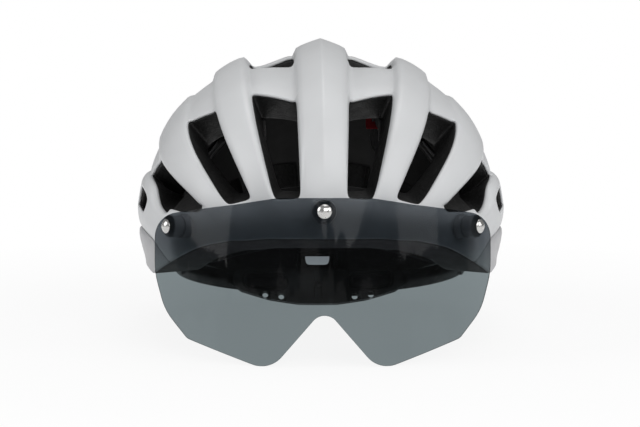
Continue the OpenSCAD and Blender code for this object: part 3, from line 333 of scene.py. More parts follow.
def shifted(i, j, o, p):
    """The direction (o, p) moved by the rounding of the vent's corner at this point."""
    across, up = ROUNDING[i, j]
    r = dome(o, p)
    return o + math.degrees(across / r), p + math.degrees(up / r / math.cos(math.radians(o)))


def outer_points(inset):
    """The grid on the shell's outer face, or inset under it."""
    pts = []
    for i, j in GRID:
        o, p = shifted(i, j, grid_out(i, j), grid_pitch(i, j))
        pts.append((dome(o, p) + RELIEF[i, j] - inset) * heading(o, p))
    return pts


def inner_points():
    """The grid on the liner's inner face."""
    return [inside(*shifted(i, j, inner_out(i, j), grid_pitch(i, j, 1))) for i, j in GRID]


def shoulders():
    """The columns where the keel and the ribs fold, with how sharp each crease is."""
    found = {NC: KEEL_CREASE}
    for k in range(1, NC):
        z, t = columns[k]
        beside_a_line = columns[k - 1][1] == 0 or columns[k + 1][0] > z
        if z in (0, 2, 4) and t > 0 and beside_a_line and (z > 0 or t > 0.5):
            found[NC + k] = found[NC - k] = RIB_CREASE
    return found


RELIEF = {(i, j): relief(i, j) for i, j in GRID}
ROUNDING = {(i, j): rounding(i, j) for i, j in GRID}


def new_object(name, mesh, material=None):
    obj = bpy.data.objects.new(name, mesh)
    bpy.context.scene.collection.objects.link(obj)
    if material:
        mesh.materials.append(material)
    return obj


def shaded(mesh, angle=None):
    mesh.polygons.foreach_set("use_smooth", [True] * len(mesh.polygons))
    if angle:
        mesh.set_sharp_from_angle(angle=math.radians(angle))
    mesh.update()


def finished(bm, name, angle=None):
    """The mesh of bm, shaded smooth, with sharp edges past the angle where one is given."""
    mesh = bpy.data.meshes.new(name)
    bm.to_mesh(mesh)
    bm.free()
    shaded(mesh, angle)
    return mesh


def sheet_solid(name, outer, inner, kept, nx, ny, crease, material, loops=(), folds=None):
    """A closed solid over the kept cells, between an outer and an inner sheet of nx by ny points in
    hub millimetres. Its rims are creased, loops adds rings in its walls, as shares inward, and
    folds gives creases along columns of the outer sheet."""
    bm = bmesh.new()
    layer = bm.edges.layers.float.new("crease_edge")
    made = {}

    def vert(i, j, side):
        key = (i, j, side)
        if key not in made:
            k = j * nx + i
            p = outer[k] if side == 0 else inner[k] if side == 1 else lerp(outer[k], inner[k], side)
            made[key] = bm.verts.new(world(p))
        return made[key]

    def filled(i, j):
        return 0 <= i < nx - 1 and 0 <= j < ny - 1 and kept(i, j)

    rings = [0, *loops, 1]
    for j in range(ny - 1):
        for i in range(nx - 1):
            if not filled(i, j):
                continue
            q = [(i, j), (i + 1, j), (i + 1, j + 1), (i, j + 1)]
            bm.faces.new([vert(a, b, 0) for a, b in reversed(q)])
            bm.faces.new([vert(a, b, 1) for a, b in q])
            sides = ((0, -1), q[0], q[1]), ((1, 0), q[1], q[2]), ((0, 1), q[2], q[3]), ((-1, 0), q[3], q[0])
            for (di, dj), a, b in sides:
                if not filled(i + di, j + dj):
                    for s0, s1 in zip(rings, rings[1:]):
                        bm.faces.new([vert(*a, s0), vert(*b, s0), vert(*b, s1), vert(*a, s1)])
                    for s in (0, 1):
                        bm.edges.get((vert(*a, s), vert(*b, s)))[layer] = crease
    for i, sharp in (folds or {}).items():
        for j in range(ny - 1):
            ends = [made.get((i, j, 0)), made.get((i, j + 1, 0))]
            edge = bm.edges.get(ends) if all(ends) else None
            if edge:
                edge[layer] = max(edge[layer], sharp)
    bmesh.ops.recalc_face_normals(bm, faces=bm.faces)
    obj = new_object(name, finished(bm, name), material)
    m = obj.modifiers.new("subsurf", "SUBSURF")
    m.levels = m.render_levels = 1
    m.boundary_smooth = "ALL"
    return obj


# Materials
def wire(tree, source, socket):
    """Links the socket to another one, or sets it to a value."""
    if hasattr(source, "is_output"):
        tree.links.new(source, socket)
    else:
        socket.default_value = source


def added(tree, kind, *inputs, **values):
    """A new node with its values set and its first inputs linked or set in turn."""
    n = tree.nodes.new(kind)
    for key, value in values.items():
        setattr(n, key, value)
    for source, socket in zip(inputs, n.inputs):
        wire(tree, source, socket)
    return n


class Look:
    """A node material, built up socket by socket."""

    def __init__(self, name, rough=0.5, metallic=0.0, coords="Object"):
        self.slot = name
        self.made = bpy.data.materials.new(name)
        self.made.use_nodes = True
        self.tree = self.made.node_tree
        self.shader = self.tree.nodes["Principled BSDF"]
        self.shader.inputs["Roughness"].default_value = rough
        self.shader.inputs["Metallic"].default_value = metallic
        if coords == "Object":
            self.coords = self.node("ShaderNodeTexCoord").outputs["Object"]
        else:
            self.coords = self.node("ShaderNodeAttribute", attribute_name=coords).outputs["Vector"]
        self.height = None

    def node(self, kind, *inputs, **values):
        return added(self.tree, kind, *inputs, **values)

    def put(self, source, socket):
        wire(self.tree, source, socket)

    def noise(self, mm, detail, rough=0.5):
        return self.node("ShaderNodeTexNoise", self.coords, 0.0, 1000 / mm, detail, rough).outputs["Fac"]

    def cells(self, mm, feature="F1"):
        return self.node("ShaderNodeTexVoronoi", self.coords, 0.0, 1000 / mm, feature=feature).outputs

    def math(self, operation, a, b=0.0):
        return self.node("ShaderNodeMath", a, b, operation=operation).outputs[0]

    def span(self, x, low, high, to_low=0.0, to_high=1.0):
        return self.node("ShaderNodeMapRange", x, low, high, to_low, to_high).outputs[0]

    def blend(self, share, a, b):
        n = self.node("ShaderNodeMix", share, data_type="RGBA")
        for source, socket in ((a, n.inputs[6]), (b, n.inputs[7])):
            self.put(source if hasattr(source, "is_output") else (*source, 1.0), socket)
        return n.outputs[2]

    def colour(self, source):
        self.put(source, self.shader.inputs["Base Color"])

    def tone(self, share, low, high, tint=(1.0, 1.0, 1.0)):
        self.colour(self.blend(share, grey(low, tint), grey(high, tint)))

    def roughness(self, x, low, high):
        self.put(self.span(x, 0.3, 0.7, low, high), self.shader.inputs["Roughness"])

    def raised(self, x, mm, share=1.0):
        """Adds a bump of that height over the others."""
        n = self.node("ShaderNodeBump")
        n.inputs["Distance"].default_value = mm / 1000
        n.inputs["Strength"].default_value = share
        self.put(x, n.inputs["Height"])
        if self.height:
            self.put(self.height, n.inputs["Normal"])
        self.height = n.outputs["Normal"]
        self.put(self.height, self.shader.inputs["Normal"])

    def socket(self, **values):
        for key, value in values.items():
            self.shader.inputs[key.replace("_", " ")].default_value = value


def grey(level, tint=(1.0, 1.0, 1.0)):
    return tuple(level * t for t in tint)


def moulded(name, level, tint, rough, grain_mm, grain, spread, specular=0.5):
    """Moulded plastic: a little uneven in colour and gloss, with a fine grain."""
    look = Look(name, rough)
    look.tone(look.span(look.noise(38, 3), 0.3, 0.7), level * (1 - spread), level * (1 + spread), tint)
    look.roughness(look.noise(9, 3), rough - 0.05, rough + 0.06)
    look.raised(look.noise(14, 1), 0.03)
    look.raised(look.noise(grain_mm, 2), grain)
    look.socket(Specular_IOR_Level=specular)
    return look


def woven(name, level, tint, rough, pitch, coords="Object", sheen=0.25, deep=0.12, spread=0.25):
    """Knit or woven cloth: threads across and along, each its own tone."""
    look = Look(name, rough, coords=coords)
    x, y, z = look.node("ShaderNodeSeparateXYZ", look.coords).outputs
    turn = 2000 * math.pi / pitch
    if coords == "Object":
        along = look.math("ADD", look.math("MULTIPLY", x, turn), look.math("MULTIPLY", z, turn * 0.5))
        across = look.math("ADD", look.math("MULTIPLY", y, turn), look.math("MULTIPLY", z, turn * 0.5))
    else:
        along, across = look.math("MULTIPLY", x, turn), look.math("MULTIPLY", y, turn)
    weave = look.math("MULTIPLY", look.math("SINE", along), look.math("SINE", across))
    patch = look.noise(11, 4, 0.6)
    look.tone(look.span(look.math("ADD", patch, look.math("MULTIPLY", weave, 0.16)), 0.25, 0.75),
              level * (1 - spread), level * (1 + spread), tint)
    look.roughness(patch, rough - 0.06, rough + 0.06)
    look.raised(look.noise(5, 3), 0.15)
    look.raised(weave, deep)
    look.socket(Specular_IOR_Level=0.3, Sheen_Weight=sheen, Sheen_Roughness=0.4)
    return look


shell_look = moulded("shell_white", 0.62, (0.985, 1.0, 1.015), 0.42, 1.1, 0.012, 0.03)
# fine scuffs
shell_look.raised(shell_look.span(shell_look.noise(60, 8, 0.75), 0.60, 0.70), 0.01, 0.5)
# the skirt under the seam: the same white plastic with a slightly different tone, made darker mostly as
# painted shade, since it faces sideways and down
lower_shaded_look = moulded("shell_grey", 0.47, (0.99, 0.99, 1.01), 0.46, 1.1, 0.015, 0.03)

foam_look = Look("foam_black", 0.6)
gap = foam_look.span(foam_look.cells(3.2, "DISTANCE_TO_EDGE")["Distance"], 0.0, 0.12)
beads = foam_look.blend(foam_look.cells(3.2)["Color"], grey(0.012), grey(0.017))
foam_look.colour(foam_look.blend(gap, grey(0.007), beads))
foam_look.roughness(foam_look.noise(6, 2), 0.52, 0.68)
foam_look.raised(gap, 0.10)
foam_look.raised(foam_look.noise(1.2, 2), 0.03)
foam_look.socket(Specular_IOR_Level=0.35)
# the liner's faces towards the head: the same black foam, darker as painted shade inside the helmet
foam_shaded_look = moulded("foam_inside_shaded", 0.0045, (1.0, 1.0, 1.02), 0.6, 1.2, 0.03, 0.2, 0.25)
holder_look = moulded("holder_grey", 0.42, (1.0, 1.0, 1.02), 0.4, 0.8, 0.02, 0.05)

plastic_look = moulded("black_plastic", 0.011, (1.0, 1.0, 1.04), 0.38, 0.7, 0.02, 0.15)
pad_look = woven("pad_fabric", 0.006, (1.0, 1.0, 1.05), 0.86, 1.1, sheen=0.12, deep=0.06)
edge_look = woven("pad_binding", 0.007, (1.0, 1.0, 1.03), 0.8, 0.7, sheen=0.15, deep=0.08)
hook_look = woven("hook_fabric", 0.02, (1.0, 1.0, 1.0), 0.85, 1.3, sheen=0.1, deep=0.2)
tab_look = woven("tab_fabric", 0.27, (1.0, 0.035, 0.06), 0.75, 0.7, sheen=0.2, deep=0.08, spread=0.2)
web_look = woven("webbing", 0.016, (1.0, 1.0, 1.05), 0.72, 1.5, "weave", 0.15, 0.16)
thread_look = woven("thread", 0.022, (1.0, 1.0, 1.05), 0.6, 0.35, sheen=0.2, deep=0.05)

stud_look = Look("stud_metal", 0.24, 0.9)
stud_look.tone(stud_look.noise(3, 4), 0.50, 0.66, (1.0, 0.99, 0.97))
stud_look.roughness(stud_look.noise(1.5, 3), 0.16, 0.32)
stud_look.raised(stud_look.noise(0.5, 2), 0.006)
magnet_look = Look("magnet_metal", 0.3, 1.0)
magnet_look.tone(magnet_look.noise(4, 3), 0.42, 0.55)
magnet_look.roughness(magnet_look.noise(2, 3), 0.22, 0.36)
magnet_look.raised(magnet_look.noise(0.6, 2), 0.005)

# what passes each face of the lens, at its least and its most, and at its top, which it reaches
# between two heights in metres, and the share of gloss on it. Less passes at the top as painted
# shade, for the shadow that the lens casts on the shell behind it.
LENS_PASSES, LENS_TOP_SHADE_PASSES = ((0.515, 0.560, 0.572), (0.524, 0.569, 0.581)), (0.43, 0.455, 0.48)
LENS_TOP_FROM, LENS_TOP_TO = 0.046, 0.060
LENS_GLOSS = 0.15
lens_look = Look("smoke_lens", 0.05)
lens_look.tone(lens_look.noise(70, 2), 0.004, 0.007, (0.9, 1.0, 1.0))
lens_look.roughness(lens_look.noise(30, 3), 0.03, 0.07)
lens_look.raised(lens_look.noise(45, 1), 0.01)
rise = lens_look.node("ShaderNodeSeparateXYZ", lens_look.coords)
evened = lens_look.blend(lens_look.span(lens_look.noise(80, 2), 0.3, 0.7), *LENS_PASSES)
# the lens passes less towards its top: painted shade for its shadow on the shell behind it
to_shaded_top = lens_look.span(rise.outputs["Z"], LENS_TOP_FROM, LENS_TOP_TO)
passed = lens_look.node("ShaderNodeBsdfTransparent", lens_look.blend(to_shaded_top, evened, LENS_TOP_SHADE_PASSES))
film = lens_look.node("ShaderNodeMixShader", LENS_GLOSS, passed.outputs[0], lens_look.shader.outputs[0])
lens_look.put(film.outputs[0], lens_look.tree.nodes["Material Output"].inputs["Surface"])
rim_look = Look("lens_edge", 0.18)
rim_look.tone(rim_look.noise(12, 2), 0.020, 0.034)
rim_look.put(rim_look.span(rim_look.noise(20, 2), 0.3, 0.7, 0.86, 0.94), rim_look.shader.inputs["Alpha"])
rim_look.raised(rim_look.noise(1.0, 2), 0.01)

LOOKS = {look.slot: look for look in (shell_look, lower_shaded_look, foam_look, pad_look, hook_look, tab_look,
                                      plastic_look, web_look, lens_look, stud_look, magnet_look)}


def settled(obj, body, slot, *stands_for):
    """Makes a new piece ride on the body, and hides the nodes that it stands for; slot is not used."""
    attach(obj, body)
    if stands_for:
        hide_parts(*stands_for)


# Shell and liner
SHELL_CREASE, FOAM_CREASE = 0.35, 0.5
WALL_LOOPS = (0.12, 0.5, 0.88)
FACES_HEAD = 0.8   # from this cosine on, a face of the liner is one of its inner ones, which get the darker foam of painted shade
nx, ny = 2 * NC + 1, NR + 1
outer_sheet, under_sheet = outer_points(0), outer_points(SHELL_T)
upper = sheet_solid("shell_upper", outer_sheet, under_sheet,
                    lambda i, j: not cell_open(i - NC, j) and not below_seam(i - NC, j),
                    nx, ny, SHELL_CREASE, shell_look.made, folds=shoulders())
settled(upper, "helmet", "shell_white", "upper_shell")
# the skirt, in the darker tone that paints its shade
lower = sheet_solid("shell_lower", outer_sheet, under_sheet,
                    lambda i, j: not cell_open(i - NC, j) and below_seam(i - NC, j),
                    nx, ny, SHELL_CREASE, lower_shaded_look.made)
settled(lower, "helmet", "shell_grey", "lower_shell")
foam = sheet_solid("liner_foam", outer_points(SHELL_T + SKIN_GAP), inner_points(),
                   lambda i, j: not cell_open(i - NC, j), nx, ny, FOAM_CREASE, foam_look.made, WALL_LOOPS)
# the faces towards the hub take the darker foam: painted shade inside the helmet
foam.data.materials.append(foam_shaded_look.made)
hub = world((0, 0, 0))
for face in foam.data.polygons:
    if face.normal.dot((hub - face.center).normalized()) > FACES_HEAD:
        face.material_index = 1
settled(foam, "helmet", "foam_black", "liner")

# Visor lens: a sheet between two upright cylinders, in millimetres of the hub frame
VISOR_R, VISOR_T, VISOR_Y = 105, 2, -45.962
VISOR_TOP, VISOR_HALF = 76, 90.5
STUDS = [(0, 69), (-84, 61), (84, 61)]
SHANK_R, HOLE_SIDES = 1.95, 24
SIDE_SQUEEZE = 0.6   # of the side studs' holes, where the lens bends away from the front
OUTLINE_STEP, STRIP = 4, 3
LENS_BEVEL = 0.00035   # metres
# the right half's corners from the nose up: across, up and radius
HALF_OUTLINE = [
    (0, 19.5, 7.6), (28.3, -13.1, 14), (VISOR_HALF - 18.5, 2.1, 6), (VISOR_HALF - 5.8, 16.5, 30),
    (VISOR_HALF, 36, 40), (VISOR_HALF, VISOR_TOP - 9.6, 14), (70, VISOR_TOP - 6.3, 30),
    (46, VISOR_TOP - 3.3, 30), (24, VISOR_TOP, 30),
]


def rounded(corners, degrees=5):
    """The outline with its corners rounded: each corner is across, up and radius."""
    found = []
    for k, c in enumerate(corners):
        at, before = Vector(c[:2]), Vector(corners[k - 1][:2])
        after = Vector(corners[(k + 1) % len(corners)][:2])
        u, v = (before - at).normalized(), (after - at).normalized()
        half = u.angle(v) / 2
        middle = at + (u + v).normalized() * c[2] / math.sin(half)
        p, q = at + u * c[2] / math.tan(half) - middle, at + v * c[2] / math.tan(half) - middle
        start = math.atan2(p.y, p.x)
        turn = (math.atan2(q.y, q.x) - start + math.pi) % (2 * math.pi) - math.pi
        n = max(2, math.ceil(abs(math.degrees(turn)) / degrees))
        found += [middle + c[2] * Vector((math.cos(start + turn * s / n), math.sin(start + turn * s / n)))
                  for s in range(n + 1)]
    return found


def split_long(points, most):
    found = []
    for a, b in zip(points, points[1:] + points[:1]):
        n = max(1, math.ceil((b - a).length / most))
        found += [a.lerp(b, s / n) for s in range(n)]
    return found


def on_lens(x, z, radius):
    return Vector((x, VISOR_Y - math.sqrt(radius * radius - x * x), z))


def flat_sheet(loops, strip):
    """A flat mesh (x, z) inside the first loop and outside the others, cut in upright strips."""
    bm = bmesh.new()
    edges = []
    for loop in loops:
        ring = [bm.verts.new((p[0], 0, p[1])) for p in loop]
        edges += [bm.edges.new((a, b)) for a, b in zip(ring, ring[1:] + ring[:1])]
    bmesh.ops.triangle_fill(bm, use_beauty=True, use_dissolve=True, edges=edges)
    low, high = min(p[0] for p in loops[0]), max(p[0] for p in loops[0])
    x = math.ceil(low / strip) * strip
    while x < high:
        bmesh.ops.bisect_plane(bm, geom=bm.verts[:] + bm.edges[:] + bm.faces[:], dist=1e-5,
                               plane_co=(x + 0.01, 0, 0), plane_no=(1, 0, 0))
        x += strip
    bmesh.ops.triangulate(bm, faces=bm.faces)
    return bm


def cut_solid(loops, strip, front_at, back_at):
    """The solid between a flat sheet carried to two places, and the faces of its walls."""
    flat = flat_sheet(loops, strip)
    bm = bmesh.new()
    front, back = ({v: bm.verts.new(world(at(v.co.x, v.co.z))) for v in flat.verts}
                   for at in (front_at, back_at))
    for f in flat.faces:
        bm.faces.new([front[v] for v in f.verts])
        bm.faces.new([back[v] for v in reversed(f.verts)])
    walls = []
    for e in flat.edges:
        if e.is_boundary:
            a, b = e.verts
            walls.append(bm.faces.new([front[a], front[b], back[b], back[a]]))
    flat.free()
    bmesh.ops.recalc_face_normals(bm, faces=bm.faces)
    return bm, walls


def lens_mesh():
    """The lens between its two cylinders, with an arrissed edge all round."""
    outline = rounded(HALF_OUTLINE + [(-x, z, r) for x, z, r in HALF_OUTLINE[:0:-1]])
    outline = split_long(outline, OUTLINE_STEP)
    angles = [2 * math.pi * k / HOLE_SIDES for k in range(HOLE_SIDES)]
    holes = [[Vector((x + SHANK_R * math.cos(a) * (1 if x == 0 else SIDE_SQUEEZE), z + SHANK_R * math.sin(a)))
              for a in angles] for x, z in STUDS]
    bm, walls = cut_solid([outline] + holes, STRIP, lambda x, z: on_lens(x, z, VISOR_R),
                          lambda x, z: on_lens(x, z, VISOR_R - VISOR_T))
    rims = {e for f in walls for e in f.edges if any(g not in walls for g in e.link_faces)}
    for f in walls:
        f.material_index = 1
    bmesh.ops.bevel(bm, geom=list(rims), offset=LENS_BEVEL, offset_type="OFFSET", segments=2, profile=0.5,
                    affect="EDGES", material=1, clamp_overlap=True)
    mesh = finished(bm, "lens", 35)
    mesh.materials.append(lens_look.made)
    mesh.materials.append(rim_look.made)
    return mesh


settled(new_object("visor_shield", lens_mesh()), "visor", "smoke_lens", "visor_lens")

# Pads. They stand on the hook dots, off the liner's inner face.
WALL_GAP, DOT_T, FIT_GAP = 0.9, 0.8, 0.05
PAD_LIFT, PAD_T = WALL_GAP + DOT_T + FIT_GAP, 5.0
SEWN_EDGE, SEWN_SHARE, CROWN_IN = 1.6, 0.16, 4.2     # the flat hem, its height, and the crown's run-in
CHANNEL_EVERY, CHANNEL_HALF, CHANNEL_DEEP = 24, 3.4, 0.42
PAD_STEP, PAD_CREASE, END_LEAST, BINDING_R = 1.9, 0.25, 0.45, 0.75
SIDES = (("left", -1), ("right", 1))
# each pad's side, and its area in degrees: out at its two ends, half its width, and its pitches
PADS = {"brow_pad": (1, (0, 0, 36, 26, 38))}
for pad, area in (("crown_pad_front", (16.5, 18, 3.6, 48, 82)),
                  ("crown_pad_rear", (18.2, 16.5, 3.6, 98, 130)), ("side_pad", (53, 53, 4, 64, 80))):
    PADS.update({f"{pad}_{word}": (side, area) for word, side in SIDES})


def mirror_x(v, side):
    """The point on the right (1), or its mirror image on the left (-1)."""
    return Vector((side * v.x, v.y, v.z))


def pad_end(v):
    """How wide a pad is at v along it: full, with round ends."""
    return (1 - abs(2 * v - 1) ** 6) ** 0.35 if 0 < v < 1 else 0.0


def puff(u, v, long_mm, wide_mm):
    """A pad's height: flat at its sewn edge, full inside it, and drawn in at its sewn channels."""
    edge = min((1 - abs(u)) * wide_mm / 2, min(v, 1 - v) * long_mm)
    rise = clamp((edge - SEWN_EDGE) / CROWN_IN)
    h = SEWN_SHARE + (1 - SEWN_SHARE) * math.sqrt(max(0.0, 1 - (1 - rise) ** 2))
    rows = max(1, round(long_mm / CHANNEL_EVERY))
    cols = max(1, round(wide_mm / CHANNEL_EVERY))
    to_channels = [abs(v - k / rows) * long_mm for k in range(1, rows)]
    to_channels += [abs((u + 1) / 2 - k / cols) * wide_mm for k in range(1, cols)]
    if edge > SEWN_EDGE and to_channels:
        near = 1 - clamp(min(to_channels) / CHANNEL_HALF)
        h *= 1 - CHANNEL_DEEP * near ** 1.7 * clamp((edge - SEWN_EDGE) / 3)
    return h


def pad_solid(name, place, nu, nv, long_mm, wide_mm, thick, body, node):
    """A quilted pad over place(u, v, lift); lift is how far it stands off what carries it."""
    outer, inner = [], []
    for j in range(nv + 1):
        for i in range(nu + 1):
            u, v = 2 * i / nu - 1, j / nv
            outer.append(place(u, v, 0))
            inner.append(place(u, v, thick * puff(u, v, long_mm, wide_mm)))
    obj = sheet_solid(name, outer, inner, lambda i, j: True, nu + 1, nv + 1, PAD_CREASE, pad_look.made)
    settled(obj, body, "pad_fabric", node)


def joined_rings(bm, rings, closed):
    """Faces between one ring of points and the next, and back to the first or over both ends."""
    sides = len(rings[0])
    for a, b in zip(rings, rings[1:] + rings[:1] if closed else rings[1:]):
        for s in range(sides):
            bm.faces.new([a[s], a[(s + 1) % sides], b[(s + 1) % sides], b[s]])
    if not closed:
        bm.faces.new(rings[0])
        bm.faces.new(rings[-1])


def piping(name, place, body, m=24, n=12, sides=8):
    """The bound edge round a pad: a closed round cord, in m steps along and n across."""
    loop = [(2 * k / n - 1, 0.0) for k in range(n)] + [(1.0, k / m) for k in range(m)]
    loop += [(-u, 1 - v) for u, v in loop]
    path = [place(u, v, BINDING_R) for u, v in loop]
    bm = bmesh.new()
    rings = []
    for k, p in enumerate(path):
        t = (path[(k + 1) % len(path)] - path[k - 1]).normalized()
        side = t.cross(place(*loop[k], BINDING_R + 1) - p).normalized()
        w = side.cross(t)
        rings.append([bm.verts.new(world(p + BINDING_R * (math.cos(a) * side + math.sin(a) * w)))
                      for a in [2 * math.pi * s / sides for s in range(sides)]])
    joined_rings(bm, rings, True)
    bmesh.ops.recalc_face_normals(bm, faces=bm.faces)
    settled(new_object(name, finished(bm, name, 50), edge_look.made), body, "pad_fabric")


for name, (side, area) in PADS.items():
    def on_liner(u, v, lift, side=side, area=area):
        out = lerp(area[0], area[1], v) + area[2] * u * max(END_LEAST, pad_end(v))
        return mirror_x(inside(out, lerp(area[3], area[4], v), PAD_LIFT + lift), side)

    long_mm = (on_liner(0, 0, 0) - on_liner(0, 1, 0)).length
    wide_mm = sum((on_liner(u, 0.5, 0) - on_liner(0, 0.5, 0)).length for u in (-1, 1))
    nu, nv = (max(12, round(mm / PAD_STEP)) for mm in (wide_mm, long_mm))
    pad_solid(name + "_cover", on_liner, nu, nv, long_mm, wide_mm, PAD_T, "helmet", name)
    piping(name + "_binding", on_liner, "helmet")

# Nape pads, on the front plate of the cradle, which lies round the arms' centre
PIN_HUB = Vector((0, -29, 46))   # the temple pins' axis in the hub frame
SLOPE = math.radians(12)
ARM_R, ARM_CENTRE, ARM_HALF_T, ARM_GAP, PLATE_T = 84, 34.012, 0.9, 0.3, 2.0
FRONT_IN = ARM_R - ARM_HALF_T - ARM_GAP - PLATE_T
NAPE_FROM, NAPE_TO, NAPE_UP, NAPE_HALF = 14, 35, 0.75, 5.25
NAPE_LONG, NAPE_WIDE, NAPE_T, NAPE_END = 30, 10.5, 4.0, 0.5
NAPE_GRID, NAPE_BINDING = (12, 20), (20, 8)


def in_cradle(a, r, z):
    """A point of the cradle: its angle from straight back, its radius and its height there."""
    x, y = r * math.sin(math.radians(a)), ARM_CENTRE + r * math.cos(math.radians(a))
    c, s = math.cos(SLOPE), math.sin(SLOPE)
    return PIN_HUB + Vector((x, y * c + z * s, z * c - y * s))


for word, side in SIDES:
    def on_plate(u, v, lift, side=side):
        z = NAPE_UP + side * u * NAPE_HALF * max(NAPE_END, pad_end(v))
        return in_cradle(side * lerp(NAPE_FROM, NAPE_TO, v), FRONT_IN - FIT_GAP - lift, z)

    name = "nape_pad_" + word
    pad_solid(name + "_cover", on_plate, *NAPE_GRID, NAPE_LONG, NAPE_WIDE, NAPE_T, "cradle", name)
    piping(name + "_binding", on_plate, "cradle", *NAPE_BINDING)


# Straps. A route is a strap's middle along the liner's inside, as out and pitch in degrees. It
# goes on to the divider, which sits on the chin straps' arc under the crown.
STRAP_W, STRAP_T, STRAP_GAP = 15, 1.2, 0.5
STRAP_LIFT = WALL_GAP + STRAP_GAP + STRAP_T / 2
CHIN_R, CHIN_Z, DIVIDER_AT, DIVIDER_W = 82.0, 51.7, 52, 23
DIVIDER_OUT = Vector((math.sin(math.radians(DIVIDER_AT)), 0, math.cos(math.radians(DIVIDER_AT))))
RUN_IN, STRAP_STOP = 10, 0.35   # off the divider
# along the arc from the buckle's middle, in mm, and the straps' tail end in degrees
SOCKET_END, PLUG_FROM, PLUG_GRIP, TAIL_END = 13, 4.3, 9, 67
FRONT_ROUTE = [(53, 42), (48.5, 46.5), (43.5, 56), (39, 68)]
REAR_ROUTE = [(34, 149), (34.5, 138), (36, 124), (37, 110)]
# steps along a strap, and, as shares of it, how far ahead and behind its direction is taken and
# where it turns to the divider
STRAP_STEPS, CHIN_STEPS, LENGTH_STEPS, AHEAD, TURN = 70, 60, 40, 0.004, (0.5, 0.95)
# the web's section, as shares of its half width and half thickness: one face, and both
WEB_FACE = [(-1, 0), (-0.97, 0.62), (-0.9, 0.96), (-0.45, 1), (0.45, 1), (0.9, 0.96), (0.97, 0.62)]
WEB_PROFILE = WEB_FACE + [(-u, -w) for u, w in WEB_FACE]
# the sewn boxes' starts and lengths along the straps, their width, and their stitches
STRAP_BOX, CHIN_BOX, BOX_WIDE = (4, 13), (2.5, 9), 10.0
STITCH_PITCH, STITCH_LONG, STITCH_ARCH, THREAD_R, THREAD_LIFT = 2.6, 2.0, 0.22, 0.28, 0.05
# a stitch's rings: their place on its half length, and their share of the thread's radius
STITCH_RINGS = ((-1, 0.25), (-0.6, 0.9), (0, 1), (0.6, 0.9), (1, 0.25))
# the plate at a strap's end: corners across, along and radius, thickness, bevel in metres, and
# the angle in radians from which an edge has it
ANCHOR_EDGE = [(-9, -6, 2), (9, -6, 2), (9, 1.6, 2), (-9, 1.6, 2)]
ANCHOR_SLOT = [(-8, -1.5, 0.6), (8, -1.5, 0.6), (8, 0.4, 0.6), (-8, 0.4, 0.6)]
ANCHOR_T, ANCHOR_BEVEL, ANCHOR_FOLD = 2.2, 0.0004, 1.2


def chin_point(a, y=0.0):
    """The point of the chin straps' arc at a degrees from its middle."""
    return Vector((CHIN_R * math.sin(math.radians(a)), y, CHIN_Z + CHIN_R * math.cos(math.radians(a))))


def chin_deg(mm):
    return math.degrees(mm / CHIN_R)


def wall_normal(p):
    """The normal of the liner's inside near the hub point p, pointing away from the hub."""
    pitch = math.degrees(math.atan2(p.z, -p.y))
    out = math.degrees(math.atan2(p.x, math.hypot(p.y, p.z)))
    du = inside(out + 1, pitch) - inside(out - 1, pitch)
    dv = inside(out, pitch + 1) - inside(out, pitch - 1)
    return du.cross(dv).normalized() * (1 if du.cross(dv).dot(p) > 0 else -1)


def along(points, x):
    """The point at x, from 0 to 1, on the smooth curve through the points."""
    x = clamp(x) * (len(points) - 1)
    return Vector([curve([q[k] for q in points], 0, 1, x) for k in range(3)])


def strap_frame(centre, outward, x):
    """A strap's middle at x, and its directions along, outward and across there."""
    p = centre(x)
    t = (centre(min(1, x + AHEAD)) - centre(max(0, x - AHEAD))).normalized()
    o = outward(x, p)
    o = (o - o.dot(t) * t).normalized()
    return p, t, o, t.cross(o)


def web(name, centre, outward, steps, body, node):
    """Webbing along centre(x), x from 0 to 1, with rolled edges and its weave's own coordinates."""
    bm = bmesh.new()
    weave = bm.verts.layers.float_vector.new("weave")
    rings, run, before = [], 0.0, centre(0.0)
    for k in range(steps + 1):
        p, _, o, b = strap_frame(centre, outward, k / steps)
        run += (p - before).length
        before = p
        ring = [bm.verts.new(world(p + b * u * STRAP_W / 2 + o * w * STRAP_T / 2)) for u, w in WEB_PROFILE]
        for v, (u, w) in zip(ring, WEB_PROFILE):
            v[weave] = (u * STRAP_W / 2000, run / 1000, 0.0)
        rings.append(ring)
    joined_rings(bm, rings, False)
    bmesh.ops.recalc_face_normals(bm, faces=bm.faces)
    settled(new_object(name, finished(bm, name, 60), web_look.made), body, "webbing", node)


def seam_dots(name, centre, outward, body, spots):
    """Stitches on both faces: short raised runs of thread at the spots, each a share along, an
    offset across and a direction."""
    bm = bmesh.new()
    for x, across, turn in spots:
        p, t, o, b = strap_frame(centre, outward, x)
        d = t * math.cos(turn) + b * math.sin(turn)
        w = d.cross(o)
        for face in (1, -1):
            mid = p + b * across + o * face * (STRAP_T / 2 + THREAD_LIFT)
            rings = []
            for s, grow in STITCH_RINGS:
                lift = STITCH_ARCH * (1 - s * s)
                rings.append([bm.verts.new(world(mid + d * s * STITCH_LONG / 2 + o * face * lift
                                                 + THREAD_R * grow * (math.cos(a) * w + math.sin(a) * o)))
                              for a in [math.pi * 2 * q / 6 for q in range(6)]])
            joined_rings(bm, rings, False)
    bmesh.ops.recalc_face_normals(bm, faces=bm.faces)
    settled(new_object(name, finished(bm, name), thread_look.made), body, "webbing")


def box_stitch(box, total_mm):
    """The spots of a sewn box with a cross in it."""
    a, long_mm, half = box[0] / total_mm, box[1], BOX_WIDE / 2
    b = a + long_mm / total_mm
    turn = math.atan2(BOX_WIDE, long_mm)
    n, m = (max(2, round(mm / STITCH_PITCH)) for mm in (long_mm, BOX_WIDE))
    spots = []
    for k in range(n):
        x, c = lerp(a, b, (k + 0.5) / n), lerp(-half, half, (k + 0.5) / n)
        spots += [(x, -half, 0.0), (x, half, 0.0), (x, c, turn), (x, -c, -turn)]
    for k in range(m):
        c = lerp(-half, half, (k + 0.5) / m)
        spots += [(a, c, math.pi / 2), (b, c, math.pi / 2)]
    return spots


